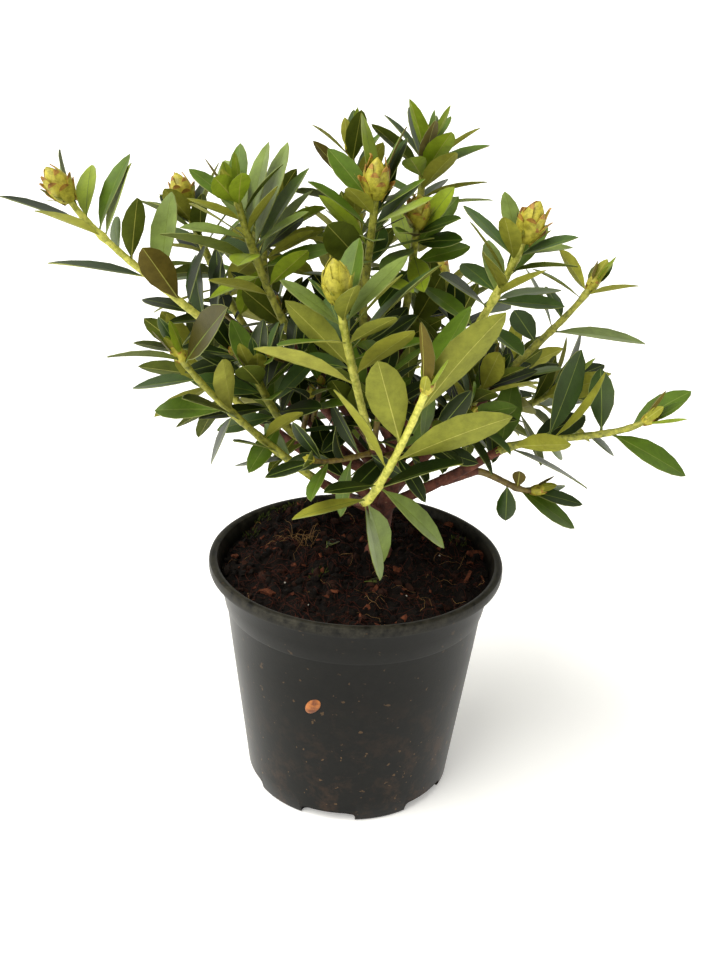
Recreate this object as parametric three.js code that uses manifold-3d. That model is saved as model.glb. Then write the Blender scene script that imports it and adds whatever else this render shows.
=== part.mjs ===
// A young small-leaved rhododendron in a round plastic nursery pot, in millimetres with +Z up.
// The origin is the middle of the pot's flat underside, +X is the viewer's right and +Y points away.
// The stem stands on the soil, the boughs leave it on all sides, and each carries a leafy spray.
import * as THREE from "three";
import { mergeVertices } from "three/addons/utils/BufferGeometryUtils.js";
import Module from "manifold-3d";

const wasm = await Module();
wasm.setup();

// Driving dimensions
const SEAT_GAP = 0.3; // left between a piece and the piece that carries it
const GOLDEN_ANGLE = 137.5; // turn from one leaf to the next up a shoot, in degrees

const POT = {
  height: 110,
  rimRadius: 65,
  rimWidth: 3.8,
  rimHeight: 5.2,
  collarTopRadius: 61.6,
  collarFootRadius: 57.9,
  collarHeight: 16.3,
  ledge: 0.5,
  footRadius: 47,
  footRound: 1.5,
  wall: 1.6,
  floor: 2,
  sides: 48,
};
const DRAIN = { count: 6, widthDeg: 32, height: 4.5, inset: 6, firstDeg: 260 };
const SOIL = { edgeHeight: 102.5, crownHeight: 106, crownRadius: 26, sides: 36 };
const TRUNK = {
  foot: [10, 12],
  lean: [7, -6],
  height: 42,
  footRadius: 4.6,
  topRadius: 3.2,
  flare: 1.7,
  flareHeight: 7,
  sides: 10,
  steps: 8,
};
const BOUGH = { rootRadius: 2.6, tipRadius: 1.9, sides: 6, steps: 4, outShare: 0.52, upShare: 0.46 };
const SHOOT = {
  rootRadius: 1.9,
  tipRadius: 1.5,
  sides: 4,
  steps: 3,
  sway: 0.25, // share of its length that it keeps to its bough's direction
  lift: 0.45, // how far its tip turns up
  bareShare: 0.12,
  crowding: 1.2, // over 1, the leaves stand closer together towards the tip
};
const LEAF = {
  widthShare: 0.38,
  thicknessShare: 0.024,
  fold: 0.2,
  arch: 0.09,
  openLow: 86, // degrees between the lowest leaf and its shoot
  sag: 0.12,
  toSky: 0.35, // how far the upper side turns up
  turnJitter: 14,
  openJitter: 8,
  rollJitter: 18,
  lengthJitter: 0.12,
  clearance: 0.4,
  stalkShare: 0.2,
  blade: [
    [0.38, 0.88],
    [0.7, 0.9],
  ],
};
// Fat flower buds stand clear of their leaves, and slim leaf buds are wrapped in them.
const BUDS = {
  flower: { length: 15, radius: 5, leafTop: 0.9, openTip: 40 },
  leaf: { length: 9, radius: 2.3, leafTop: 0.97, openTip: 36 },
};
const TURN_TRIES = [0, 24, -24, 48, -48]; // degrees by which a leaf that would touch something is turned

const COLOURS = { pot: 0x2e3132, soil: 0x2a1c13, bark: 0x5b3427, foliage: 0x55702f };

// Every bough by the name of the spray it carries: the limb it leaves, how far along that limb, where its
// tip is, and the shoots of the spray. A place is a heading (degrees from +X), the reach from the pot's axis
// and a height. A shoot has its tip, how many leaves climb it in a spiral, their length, the turn of the
// lowest one and its bud, and some have a fork, how far up the first shoot they leave it, a bare share of
// their own, or leaves that stand out, each by how far up the shoot it sits, its heading, rise, length
// and roll.
const SPRAYS = [
  spray("far_left", "trunk", 0.72, at(177, 48, 197), [
    shoot(at(185, 116, 262), 0, 30, 70, "flower", {
      standOut: [
        leaf(0.81, 229, 30, 34, -15),
        leaf(0.82, 167, 20, 44, 35),
        leaf(0.56, 175, 8, 42, 10),
        leaf(0.9, 100, 40, 30, 5),
        leaf(0.83, 78, 54, 36, 0),
        leaf(0.8, 62, 60, 32, 5),
        leaf(0.66, 293, 65, 32, -40),
        leaf(0.5, 92, 62, 40, 15),
        leaf(0.4, 238, 51, 34, -10),
        leaf(0.31, 148, 9, 30, 25),
        leaf(0.72, 109, 26, 24, -30),
        leaf(0.93, 130, 44, 30, -70),
        leaf(0.27, 114, 41, 34, -15),
        leaf(0.2, 100, 60, 32, -10),
        leaf(0.36, 80, 50, 32, -10),
      ],
    }),
  ]),
  spray("left_low", "trunk", 0.45, at(228, 27, 154), [
    shoot(at(207, 78, 208), 0, 30, 300, "leaf", {
      standOut: [
        leaf(0.87, 158, -13, 32, 0),
        leaf(0.65, 165, -5, 34, -20),
        leaf(0.57, 221, 36, 36, -50),
        leaf(0.62, 145, -59, 30, -25),
        leaf(0.63, 261, 62, 32, -10),
        leaf(0.31, 221, 28, 30, -40),
        leaf(0.23, 148, -16, 30, 25),
        leaf(0.44, 69, -57, 28, 10),
        leaf(0.19, 117, 21, 26, -25),
        leaf(0.41, 326, 46, 26, -45),
        leaf(1, 231, 21, 38, -5),
        leaf(0.98, 307, 46, 40, 50),
      ],
    }),
  ]),
  spray("front_low", "left_low", 0.6, at(273.2, 46.6, 156.6), [
    shoot(at(287.5, 73.4, 211.4), 0, 26, 10, "leaf", {
      standOut: [
        leaf(0.61, 222, 69, 40, 95),
        leaf(0.48, 356, 31, 48, -75),
        leaf(0.8, 357, 60, 52, -80),
        leaf(0.9, 61, 46, 44, -50),
        leaf(0.97, 265, 69, 34, -15),
        leaf(0.41, 194, 59, 40, 40),
        leaf(0.22, 339, 34, 37, -15),
        leaf(0.27, 217, 12, 26, 25),
        leaf(0.1, 202, -2, 31, 30),
        leaf(0.06, 30, -66, 33, -5),
        leaf(0, 290, -40, 33, -60),
        leaf(0.26, 5, -39, 38, 0),
      ],
    }),
  ]),
  spray("front_centre", "trunk", 0.9, at(278, 36, 176), [
    shoot(at(260, 56, 239), 5, 36, 100, "flower", {
      bare: 0.6,
      standOut: [
        leaf(0.6, 211, 47, 36, 80),
        leaf(0.5, 193, 27, 42, 40),
        leaf(0.86, 46, 38, 38, -10),
        leaf(0.7, 34, 44, 48, -25),
        leaf(0.75, 313, 36, 30, -30),
        leaf(0.56, 320, 45, 36, -35),
        leaf(0.93, 134, 32, 20, 30),
      ],
    }),
  ]),
  spray("right_low", "trunk", 0.55, at(351, 59, 166), [
    shoot(at(353, 116, 183), 0, 24, 200, "leaf", {
      standOut: [
        leaf(0.89, 24, 29, 32, -40),
        leaf(0.76, 354, -23, 38, 40),
        leaf(0.71, 87, 52, 30, -80),
        leaf(0.62, 28, -30, 20, 5),
        leaf(0.35, 54, 51, 42, -30),
        leaf(0.02, 72, 52, 32, -25),
        leaf(0.23, 35, 15, 32, -40),
        leaf(0.39, 348, 58, 36, -5),
        leaf(0.08, 2, -20, 40, -15),
        leaf(0.1, 338, 19, 30, -25),
        leaf(0.33, 46, -36, 22, 20),
      ],
    }),
  ]),
  spray("far_right", "trunk", 0.8, at(17, 66, 192), [
    shoot(at(15, 97, 227), 2, 26, 70, "leaf", {
      bare: 0.9,
      standOut: [
        leaf(0.51, 2, 1, 42, 10),
        leaf(0.65, 102, 31, 22, -20),
        leaf(0.54, 103, 49, 30, 5),
        leaf(0.97, 109, 29, 26, 65),
        leaf(0.35, 110, 20, 28, -55),
      ],
    }),
  ]),
  spray("centre_left", "trunk", 1, at(188, 29, 208), [
    shoot(at(196, 53, 266), 8, 32, 120, "leaf", {
      bare: 0.5,
      standOut: [
        leaf(0.97, 249, 36, 26, 35),
        leaf(0.72, 87, 68, 40, -30),
        leaf(0.66, 62, 64, 45, -25),
        leaf(0.64, 42, 54, 40, -10),
        leaf(0.6, 41, 51, 36, -5),
        leaf(0.62, 54, 29, 30, 0),
        leaf(0.58, 215, 25, 44, 20),
        leaf(0.42, 325, 44, 28, -50),
        leaf(0.36, 217, 22, 30, 25),
        leaf(0.74, 145, 23, 32, 40),
      ],
    }),
    shoot(at(156, 47, 252), 9, 30, 30, "leaf", { fork: 0.42 }),
  ]),
  spray("leader", "trunk", 1, at(90, 6, 205), [
    shoot(at(288, 5, 267), 8, 33, 80, "flower", {
      bare: 0.45,
      standOut: [
        leaf(0.54, 235, 39, 38, 65),
        leaf(0.95, 155, 44, 29, -30),
        leaf(0.97, 102, 66, 35, 45),
        leaf(0.98, 75, 64, 31, -50),
        leaf(0.92, 56, 60, 32, -40),
      ],
    }),
    shoot(at(106, 33, 278), 10, 28, 200, "leaf", { fork: 0.2 }),
  ]),
  spray("right_high", "leader", 0.2, at(350, 36, 200), [
    shoot(at(346, 61, 255), 9, 33, 60, "flower", {
      bare: 0.35,
      standOut: [
        leaf(0.87, 137, 35, 32, 0),
        leaf(0.93, 90, 28, 26, 5),
        leaf(0.62, 119, 18, 28, -25),
        leaf(0.9, 28, 5, 26, 0),
        leaf(0.57, 35, 5, 36, -15),
        leaf(0.59, 308, 36, 30, 10),
      ],
    }),
  ]),
  spray("right_top", "leader", 0.45, at(39, 19, 205), [
    shoot(at(58, 41, 281), 7, 31, 0, "leaf", {
      bare: 0.6,
      standOut: [
        leaf(0.9, 107, 45, 32, 20),
        leaf(0.88, 272, 52, 32, 45),
        leaf(0.86, 293, 44, 32, -5),
        leaf(0.85, 237, 30, 28, 25),
        leaf(0.88, 12, 23, 30, 25),
        leaf(0.75, 342, 24, 29, -5),
        leaf(0.72, 64, 19, 26, -10),
      ],
    }),
    shoot(at(12, 19, 255), 7, 30, 140, "flower", { fork: 0.3 }),
  ]),
  spray("low_right", "right_low", 0.5, at(11, 52, 148), [
    shoot(at(10, 78, 138), 0, 28, 90, "leaf", {
      standOut: [
        leaf(0.6, 75, -75, 24, 95),
        leaf(0.75, 352, -30, 33, 40),
        leaf(0.75, 24, -12, 28, 65),
        leaf(0.9, 4, -12, 28, 25),
        leaf(0.77, 266, 52, 18, 70),
      ],
    }),
  ]),
  spray("right_back", "far_right", 0.4, at(24, 64, 166), [shoot(at(20, 94, 182), 12, 32, 10, "leaf")]),
  spray("left_back", "far_left", 0.45, at(144, 64, 198), [shoot(at(148, 94, 250), 14, 33, 80, "flower")]),
  spray("inner_left", "trunk", 0.86, at(200, 28, 168), [shoot(at(208, 48, 198), 12, 32, 30, "leaf")]),
  spray("inner_right", "right_high", 0.4, at(4, 32, 168), [shoot(at(5, 52, 190), 11, 31, 160, "leaf")]),
  spray("back_right", "trunk", 0.86, at(62, 59, 175), [shoot(at(67, 83, 210), 13, 33, 40, "flower")]),
  spray("back_left", "trunk", 0.8, at(122, 65, 178), [shoot(at(123, 101, 222), 13, 34, 110, "flower")]),
  spray("back_centre", "leader", 0.3, at(96, 48, 190), [shoot(at(95, 85, 238), 13, 34, 190, "flower")]),
  spray("back_low_left", "trunk", 0.55, at(137, 66, 155), [shoot(at(140, 110, 178), 14, 35, 230, "leaf")]),
  spray("back_low_right", "trunk", 0.66, at(53, 69, 152), [shoot(at(50, 111, 172), 13, 35, 300, "leaf")]),
  spray("back_low", "trunk", 0.42, at(90, 58, 150), [shoot(at(91, 105, 168), 13, 34, 20, "leaf")]),
];

function at(heading, reach, height) {
  const angle = THREE.MathUtils.degToRad(heading);
  return new THREE.Vector3(reach * Math.cos(angle), reach * Math.sin(angle), height);
}

function spray(name, parent, along, tip, shoots) {
  return { name, parent, along, tip, shoots };
}

// A shoot ends in a bud at its tip. The second one of a spray forks off the first, part of the way up it.
function shoot(tip, leaves, leafLength, turn, bud, { fork = 0, bare = SHOOT.bareShare, standOut = [] } = {}) {
  return { tip, leaves, leafLength, turn, bud, fork, bare, standOut };
}

function leaf(along, heading, rise, length, roll) {
  return { along, heading, rise, length, roll };
}

// A repeatable number from -1 to 1 for each pair of seed and index.
function chance(seed, index) {
  const wave = Math.sin(seed * 12.9898 + index * 78.233) * 43758.5453;
  return 2 * (wave - Math.floor(wave)) - 1;
}

// Solids
function solidOf(geometry) {
  const bare = geometry.clone();
  bare.deleteAttribute("normal");
  bare.deleteAttribute("uv");
  const merged = mergeVertices(bare, 1e-4);
  const vertProperties = new Float32Array(merged.getAttribute("position").array);
  const triVerts = new Uint32Array(merged.index.array);
  return new wasm.Manifold(new wasm.Mesh({ numProp: 3, vertProperties, triVerts }));
}

function geometryOf(solid) {
  const { vertProperties, triVerts } = solid.getMesh();
  const geometry = new THREE.BufferGeometry();
  geometry.setAttribute("position", new THREE.BufferAttribute(vertProperties, 3));
  geometry.setIndex(new THREE.BufferAttribute(triVerts, 1));
  geometry.computeVertexNormals();
  return geometry;
}

// The largest body of a solid: loose scraps go, and sealed hollows are filled.
function largestBody(solid) {
  return solid.decompose().reduce((best, body) => (body.volume() > best.volume() ? body : best));
}

function touches(solid, other) {
  return solid.intersect(other).volume() > 0;
}

// A solid of revolution about +Z from a profile of [radius, height] points.
function turned(profile, sides) {
  const points = profile.map(([radius, height]) => new THREE.Vector2(radius, height));
  return new THREE.LatheGeometry(points, sides).rotateX(Math.PI / 2);
}

// A closed round limb along a curve, tapering from its root to its tip, with a swell where its root flares.
function limb(curve, rootRadius, tipRadius, sides, steps, swell = () => 1) {
  const tube = new THREE.CylinderGeometry(1, 1, 1, sides, steps).translate(0, 0.5, 0);
  const { normals, binormals } = curve.computeFrenetFrames(steps);
  const place = tube.getAttribute("position");
  for (let i = 0; i < place.count; i++) {
    const share = place.getY(i);
    const step = Math.round(share * steps);
    const radius = THREE.MathUtils.lerp(rootRadius, tipRadius, share) * swell(share);
    const point = curve.getPointAt(share);
    point.addScaledVector(binormals[step], radius * place.getX(i));
    point.addScaledVector(normals[step], radius * place.getZ(i));
    place.setXYZ(i, point.x, point.y, point.z);
  }
  return tube;
}

// Pot: a thin-walled cup with a rolled rim, a collar and ledge under it, and drain slots round its foot.
function potWall() {
  const { height, wall, floor, rimRadius, rimWidth, rimHeight, footRadius, footRound } = POT;
  const rimFoot = height - rimHeight;
  const collarFoot = rimFoot - POT.collarHeight;
  const bodyTop = POT.collarFootRadius - POT.ledge;
  const rimInner = rimRadius - rimWidth;
  const edge = 0.8; // the rim's rounded edges
  return turned(
    [
      [0, 0],
      [footRadius - footRound, 0],
      [footRadius, footRound],
      [bodyTop, collarFoot],
      [POT.collarFootRadius, collarFoot + 0.5],
      [POT.collarTopRadius, rimFoot],
      [rimRadius, rimFoot],
      [rimRadius, height - edge],
      [rimRadius - edge, height],
      [rimInner + edge, height],
      [rimInner, height - edge],
      [POT.collarTopRadius - wall, rimFoot],
      [bodyTop - wall, collarFoot],
      [footRadius - wall, floor],
      [0, floor],
    ],
    POT.sides,
  );
}

function drainSlot(number) {
  const half = THREE.MathUtils.degToRad(DRAIN.widthDeg / 2);
  const middle = THREE.MathUtils.degToRad(DRAIN.firstDeg + (number * 360) / DRAIN.count);
  const outline = new THREE.Shape();
  outline.absarc(0, 0, POT.footRadius + 2, middle - half, middle + half, false);
  outline.absarc(0, 0, POT.footRadius - DRAIN.inset, middle + half, middle - half, true);
  const below = 1; // the cutter starts under the floor
  const cut = { depth: DRAIN.height + below, bevelEnabled: false, curveSegments: 4 };
  return new THREE.ExtrudeGeometry(outline, cut).translate(0, 0, -below);
}

function pot() {
  let cup = solidOf(potWall());
  for (let number = 0; number < DRAIN.count; number++) {
    cup = cup.subtract(solidOf(drainSlot(number)));
  }
  return cup;
}

// Soil: the root ball that fills the pot, with a low crown and a flat spot where the stem stands.
function soil() {
  const gap = POT.wall + SEAT_GAP;
  const rimFoot = POT.height - POT.rimHeight;
  const collarFoot = rimFoot - POT.collarHeight;
  const bodyTop = POT.collarFootRadius - POT.ledge;
  const shoulder = SOIL.edgeHeight - 1;
  const upCollar = (shoulder - collarFoot) / POT.collarHeight;
  const shoulderRadius = THREE.MathUtils.lerp(bodyTop, POT.collarTopRadius, upCollar) - gap;
  return turned(
    [
      [0, POT.floor + SEAT_GAP],
      [POT.footRadius - gap - 0.1, POT.floor + SEAT_GAP],
      [bodyTop - gap, collarFoot],
      [shoulderRadius, shoulder],
      [shoulderRadius - 6, SOIL.edgeHeight],
      [SOIL.crownRadius, SOIL.crownHeight],
      [0, SOIL.crownHeight],
    ],
    SOIL.sides,
  );
}

// Wood: the stem from its flat cut at the soil, and the boughs that leave it or each other
const trunkFoot = new THREE.Vector3(...TRUNK.foot, SOIL.crownHeight + SEAT_GAP);
const trunkTop = trunkFoot.clone().add(new THREE.Vector3(...TRUNK.lean, TRUNK.height));
const trunkKnee = new THREE.Vector3(trunkFoot.x, trunkFoot.y, (trunkFoot.z + trunkTop.z) / 2);
const limbCurves = { trunk: new THREE.QuadraticBezierCurve3(trunkFoot, trunkKnee, trunkTop) };

function trunk(extra = 0) {
  const flareShare = TRUNK.flareHeight / TRUNK.height;
  const flare = (share) => 1 + (TRUNK.flare - 1) * Math.max(0, 1 - share / flareShare) ** 2;
  const { footRadius, topRadius, sides, steps } = TRUNK;
  return limb(limbCurves.trunk, footRadius + extra, topRadius + extra, sides, steps, flare);
}

function boughCurve({ parent, along, tip }) {
  const root = limbCurves[parent].getPointAt(along);
  const knee = root.clone().lerp(tip, BOUGH.outShare);
  knee.z = THREE.MathUtils.lerp(root.z, tip.z, BOUGH.upShare);
  return new THREE.QuadraticBezierCurve3(root, knee, tip);
}

function bough(curve, extra = 0) {
  return limb(curve, BOUGH.rootRadius + extra, BOUGH.tipRadius + extra, BOUGH.sides, BOUGH.steps);
}

// Shoots: the first starts just clear of its bough's tip and carries on from it, and all turn up to the light
function shootCurves({ name, tip, shoots }) {
  const curves = [];
  for (const { tip: end, fork } of shoots) {
    const mother = fork ? curves[0] : limbCurves[name];
    const heading = fork ? mother.getTangentAt(fork) : mother.getTangentAt(1);
    const root = fork ? mother.getPointAt(fork) : tip.clone().addScaledVector(heading, SEAT_GAP);
    const sway = SHOOT.sway * root.distanceTo(end);
    const arrival = end.clone().sub(root).normalize();
    arrival.z += SHOOT.lift;
    const first = root.clone().addScaledVector(heading, sway);
    const second = end.clone().addScaledVector(arrival.normalize(), -sway);
    curves.push(new THREE.CubicBezierCurve3(root, first, second, end));
  }
  return curves;
}

function shootStem(curve) {
  return limb(curve, SHOOT.rootRadius, SHOOT.tipRadius, SHOOT.sides, SHOOT.steps);
}

// The middle of a shoot's stem, which is straight between its steps.
function stemPoint(curve, along) {
  const step = Math.min(Math.floor(along * SHOOT.steps), SHOOT.steps - 1);
  const from = curve.getPointAt(step / SHOOT.steps);
  return from.lerp(curve.getPointAt((step + 1) / SHOOT.steps), along * SHOOT.steps - step);
}

function bud(curve, kind) {
  const { length, radius } = BUDS[kind];
  const profile = [
    [0, -2],
    [SHOOT.tipRadius * 0.8, -1.2],
    [radius * 0.9, length * 0.25],
    [radius, length * 0.45],
    [radius * 0.62, length * 0.8],
    [0, length],
  ];
  const toAxis = new THREE.Quaternion().setFromUnitVectors(new THREE.Vector3(0, 0, 1), curve.getTangentAt(1));
  return turned(profile, 5).applyQuaternion(toAxis).translate(...curve.getPointAt(1));
}

// One leaf along +X with its upper side to +Z: a folded, arching blade that runs to a point at each end.
function leafBlade(length, extra = 0, start = 0) {
  const half = (length * LEAF.widthShare) / 2 + extra;
  const thick = length * LEAF.thicknessShare + 2 * extra;
  const droop = (along) => -LEAF.arch * length * along * along;
  const points = [[start * length, 0, droop(start)]];
  for (const [along, share] of LEAF.blade) {
    const middle = droop(along);
    const edge = middle + LEAF.fold * half * share;
    points.push([along * length, half * share, edge], [along * length, 0, middle + thick / 2]);
    points.push([along * length, -half * share, edge], [along * length, 0, middle - thick / 2]);
  }
  points.push([length + extra, 0, droop(1)]);
  const faces = [];
  for (let corner = 0; corner < 4; corner++) {
    const near = 1 + corner;
    const beside = 1 + ((corner + 1) % 4);
    faces.push(0, beside, near);
    faces.push(near, beside, near + 4, beside, beside + 4, near + 4);
    faces.push(near + 4, beside + 4, points.length - 1);
  }
  const geometry = new THREE.BufferGeometry();
  geometry.setAttribute("position", new THREE.Float32BufferAttribute(points.flat(), 3));
  geometry.setIndex(faces);
  return geometry;
}

// The frame of a leaf on a shoot: along the leaf, across it, and up from its upper side, which looks to the
// shoot's tip and to the sky.
function leafFrame(curve, along, direction, roll) {
  const face = curve.getTangentAt(along);
  face.z += LEAF.toSky;
  face.addScaledVector(direction, -face.dot(direction)).normalize();
  face.applyAxisAngle(direction, THREE.MathUtils.degToRad(roll));
  const across = face.clone().cross(direction);
  return new THREE.Matrix4().makeBasis(direction, across, face).setPosition(stemPoint(curve, along));
}

// Where leaf k of a shoot sits: the leaves climb it in a spiral, wide open below and drawn in to the bud.
function spiralLeaf(curve, { leaves, leafLength, turn, bud: kind, bare }, seed, k, extraTurn) {
  const { leafTop, openTip } = BUDS[kind];
  const share = k / (leaves - 1);
  const along = THREE.MathUtils.lerp(bare, leafTop, 1 - (1 - share) ** SHOOT.crowding);
  const axis = curve.getTangentAt(along);
  const away = new THREE.Vector3(0, 1, 0);
  away.addScaledVector(axis, -away.dot(axis)).normalize();
  const side = axis.clone().cross(away);
  const jitter = (kindOfChance) => chance(seed, 5 * k + kindOfChance);
  const angle = THREE.MathUtils.degToRad(turn + k * GOLDEN_ANGLE + LEAF.turnJitter * jitter(0) + extraTurn);
  const out = away.multiplyScalar(Math.cos(angle)).addScaledVector(side, Math.sin(angle));
  const open = openTip + (LEAF.openLow - openTip) * (1 - share) ** 2 + LEAF.openJitter * jitter(1);
  const lean = THREE.MathUtils.degToRad(open);
  const direction = axis.multiplyScalar(Math.cos(lean)).addScaledVector(out, Math.sin(lean));
  direction.z -= LEAF.sag * (1 - share);
  direction.normalize();
  const grown = 0.7 + 0.4 * Math.sin(Math.PI * Math.min(1, 0.25 + 0.6 * share));
  const length = leafLength * grown * (1 + LEAF.lengthJitter * jitter(2));
  return { length, frame: leafFrame(curve, along, direction, LEAF.rollJitter * jitter(3)) };
}

function standOutLeaf(curve, { along, heading, rise, length, roll }, extraTurn) {
  const up = THREE.MathUtils.degToRad(rise);
  const direction = at(heading + extraTurn, Math.cos(up), Math.sin(up));
  return { length, frame: leafFrame(curve, along, direction, roll) };
}

// The leaves of one shoot that find room: each is turned a little where it would touch something, or left
// out. A leaf starts inside its own spray's wood, so there it is tested from beyond its stalk.
function shootLeaves(curve, row, seed, owner, obstacles) {
  const grown = [];
  const places = row.standOut.map((spec) => (turn) => standOutLeaf(curve, spec, turn));
  for (let k = 0; k < row.leaves; k++) places.push((turn) => spiralLeaf(curve, row, seed, k, turn));
  for (const place of places) {
    for (const turn of TURN_TRIES) {
      const { length, frame } = place(turn);
      const piece = (extra, start) => solidOf(leafBlade(length, extra, start).applyMatrix4(frame));
      const whole = piece(LEAF.clearance, 0);
      const beyondStalk = piece(LEAF.clearance, LEAF.stalkShare);
      const blocked = (other) => touches(other.owner === owner ? beyondStalk : whole, other.solid);
      if (obstacles.some(blocked)) continue;
      const grownLeaf = piece(0, 0);
      obstacles.push({ owner, solid: grownLeaf });
      grown.push(grownLeaf);
      break;
    }
  }
  return grown;
}

// Assembly
const plant = new THREE.Group();

function add(name, geometry, colour, roughness) {
  const material = new THREE.MeshStandardMaterial({ color: colour, roughness, metalness: 0 });
  const mesh = new THREE.Mesh(geometry, material);
  mesh.name = name;
  plant.add(mesh);
}

add("pot", geometryOf(pot()), COLOURS.pot, 0.5);
add("soil", soil(), COLOURS.soil, 1);
add("trunk", trunk(), COLOURS.bark, 0.8);

// The boughs are cut clear of the limbs that were there before them.
const obstacles = [potWall(), soil(), trunk()].map((geometry) => ({ owner: "", solid: solidOf(geometry) }));
const woodGuards = [solidOf(trunk(SEAT_GAP))];
for (const row of SPRAYS) {
  const curve = boughCurve(row);
  limbCurves[row.name] = curve;
  let wood = solidOf(bough(curve));
  for (const guard of woodGuards) {
    if (touches(wood, guard)) wood = wood.subtract(guard);
  }
  wood = largestBody(wood);
  add(`bough_${row.name}`, geometryOf(wood), COLOURS.bark, 0.8);
  obstacles.push({ owner: "", solid: wood });
  woodGuards.push(solidOf(bough(curve, SEAT_GAP)));
}

// All stems and buds take their places first, and the leaves then fill the room that is left.
const growth = SPRAYS.map((row) => {
  const curves = shootCurves(row);
  const stems = curves.map((curve) => solidOf(shootStem(curve)));
  const buds = curves.map((curve, i) => solidOf(bud(curve, row.shoots[i].bud)));
  const wood = [...stems, ...buds];
  obstacles.push(...wood.map((solid) => ({ owner: row.name, solid })));
  return { row, curves, wood };
});
growth.forEach(({ row, curves, wood }, number) => {
  const leaves = curves.flatMap((curve, i) => {
    return shootLeaves(curve, row.shoots[i], 3 * number + i + 1, row.name, obstacles);
  });
  const mass = [...wood, ...leaves].reduce((all, piece) => all.add(piece));
  add(`foliage_${row.name}`, geometryOf(largestBody(mass)), COLOURS.foliage, 0.5);
});

export default plant;
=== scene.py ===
import math
from dataclasses import dataclass

import bpy
import numpy as np
from mathutils import Matrix, Vector, noise
from mathutils.bvhtree import BVHTree


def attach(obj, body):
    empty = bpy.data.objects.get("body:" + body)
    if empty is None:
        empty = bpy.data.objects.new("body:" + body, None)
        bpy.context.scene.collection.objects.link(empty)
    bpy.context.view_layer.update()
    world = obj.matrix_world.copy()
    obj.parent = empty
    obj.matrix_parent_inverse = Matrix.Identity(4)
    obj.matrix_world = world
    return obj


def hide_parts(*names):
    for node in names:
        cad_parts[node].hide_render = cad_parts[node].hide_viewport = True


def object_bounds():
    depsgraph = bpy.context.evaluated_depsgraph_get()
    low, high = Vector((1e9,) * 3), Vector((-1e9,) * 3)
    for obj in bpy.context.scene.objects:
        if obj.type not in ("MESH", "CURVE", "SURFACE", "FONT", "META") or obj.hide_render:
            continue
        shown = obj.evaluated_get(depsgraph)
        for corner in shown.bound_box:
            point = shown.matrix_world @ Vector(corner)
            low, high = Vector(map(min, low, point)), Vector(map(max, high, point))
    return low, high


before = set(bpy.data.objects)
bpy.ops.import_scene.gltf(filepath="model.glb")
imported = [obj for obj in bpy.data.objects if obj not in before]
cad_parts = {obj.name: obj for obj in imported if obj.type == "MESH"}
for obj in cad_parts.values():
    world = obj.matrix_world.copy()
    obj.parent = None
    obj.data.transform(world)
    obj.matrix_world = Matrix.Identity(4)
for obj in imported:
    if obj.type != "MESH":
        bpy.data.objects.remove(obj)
cad_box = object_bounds()
MM = 0.001

# Pot: a round nursery pot, moulded in one piece from black plastic with a thin tapered wall, a rolled rim,
# a collar that ends in a ledge, and drain notches round its foot. It is dusty, with earth dried on it.
POT_SIDES = 144
POT_OUTSIDE = (
    (45.6, 0), (46.5, 0.4), (47, 1.5), (48.1, 11), (50.5, 31), (52.9, 51), (55.3, 71), (57.2, 87.8),
    (57.35, 88.4), (57.8, 88.6), (58, 89.1), (59.4, 96), (60.9, 102.6), (61.4, 104.2), (62.2, 104.7),
    (63.6, 104.9), (64.7, 105.3), (65, 106.2), (65, 108.5), (64.7, 109.4), (64, 109.9),
)
POT_INSIDE = (
    (63.1, 110), (62.1, 109.9), (61.4, 109.4), (61.2, 108.6), (60, 104.6), (57.8, 96), (56, 89),
    (55.8, 88.4), (50.6, 45), (45.6, 3), (44.8, 2),
)
DRAIN_COUNT = 6
DRAIN_FIRST_DEG = 260
DRAIN_SIZE = (25, 9, 5.5)
DRAIN_REACH, DRAIN_HEIGHT, DRAIN_CORNER = 45.5, 1.6, 2.4
POT_CREASE_DEG = 32
POT_BLACK, POT_DUST, POT_EARTH, POT_SPECK = (13, 13, 11), (66, 63, 53), (78, 55, 38), (86, 66, 44)


def turned_piece(name, sides, outline):
    """A closed piece turned about the pot's axis: a circle drawn from ring to ring of (radius, height)."""
    bpy.ops.object.select_all(action="DESELECT")
    radius, height = outline[0]
    bpy.ops.mesh.primitive_circle_add(vertices=sides, radius=radius * MM)
    piece = bpy.context.object
    piece.name = name
    bpy.ops.object.mode_set(mode="EDIT")
    bpy.ops.mesh.select_all(action="SELECT")
    bpy.ops.transform.translate(value=(0, 0, height * MM))
    for wide, high in outline[1:]:
        bpy.ops.mesh.extrude_region_move(TRANSFORM_OT_translate={"value": (0, 0, (high - height) * MM)})
        grow = wide / radius
        bpy.ops.transform.resize(value=(grow, grow, 1), center_override=(0, 0, high * MM))
        radius, height = wide, high
    for _end in range(2):
        bpy.ops.mesh.edge_face_add()
        bpy.ops.mesh.poke()
        bpy.ops.mesh.select_all(action="DESELECT")
        bpy.ops.mesh.select_non_manifold()
    bpy.ops.mesh.select_all(action="SELECT")
    bpy.ops.mesh.normals_make_consistent(inside=False)
    bpy.ops.object.mode_set(mode="OBJECT")
    return piece


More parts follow.
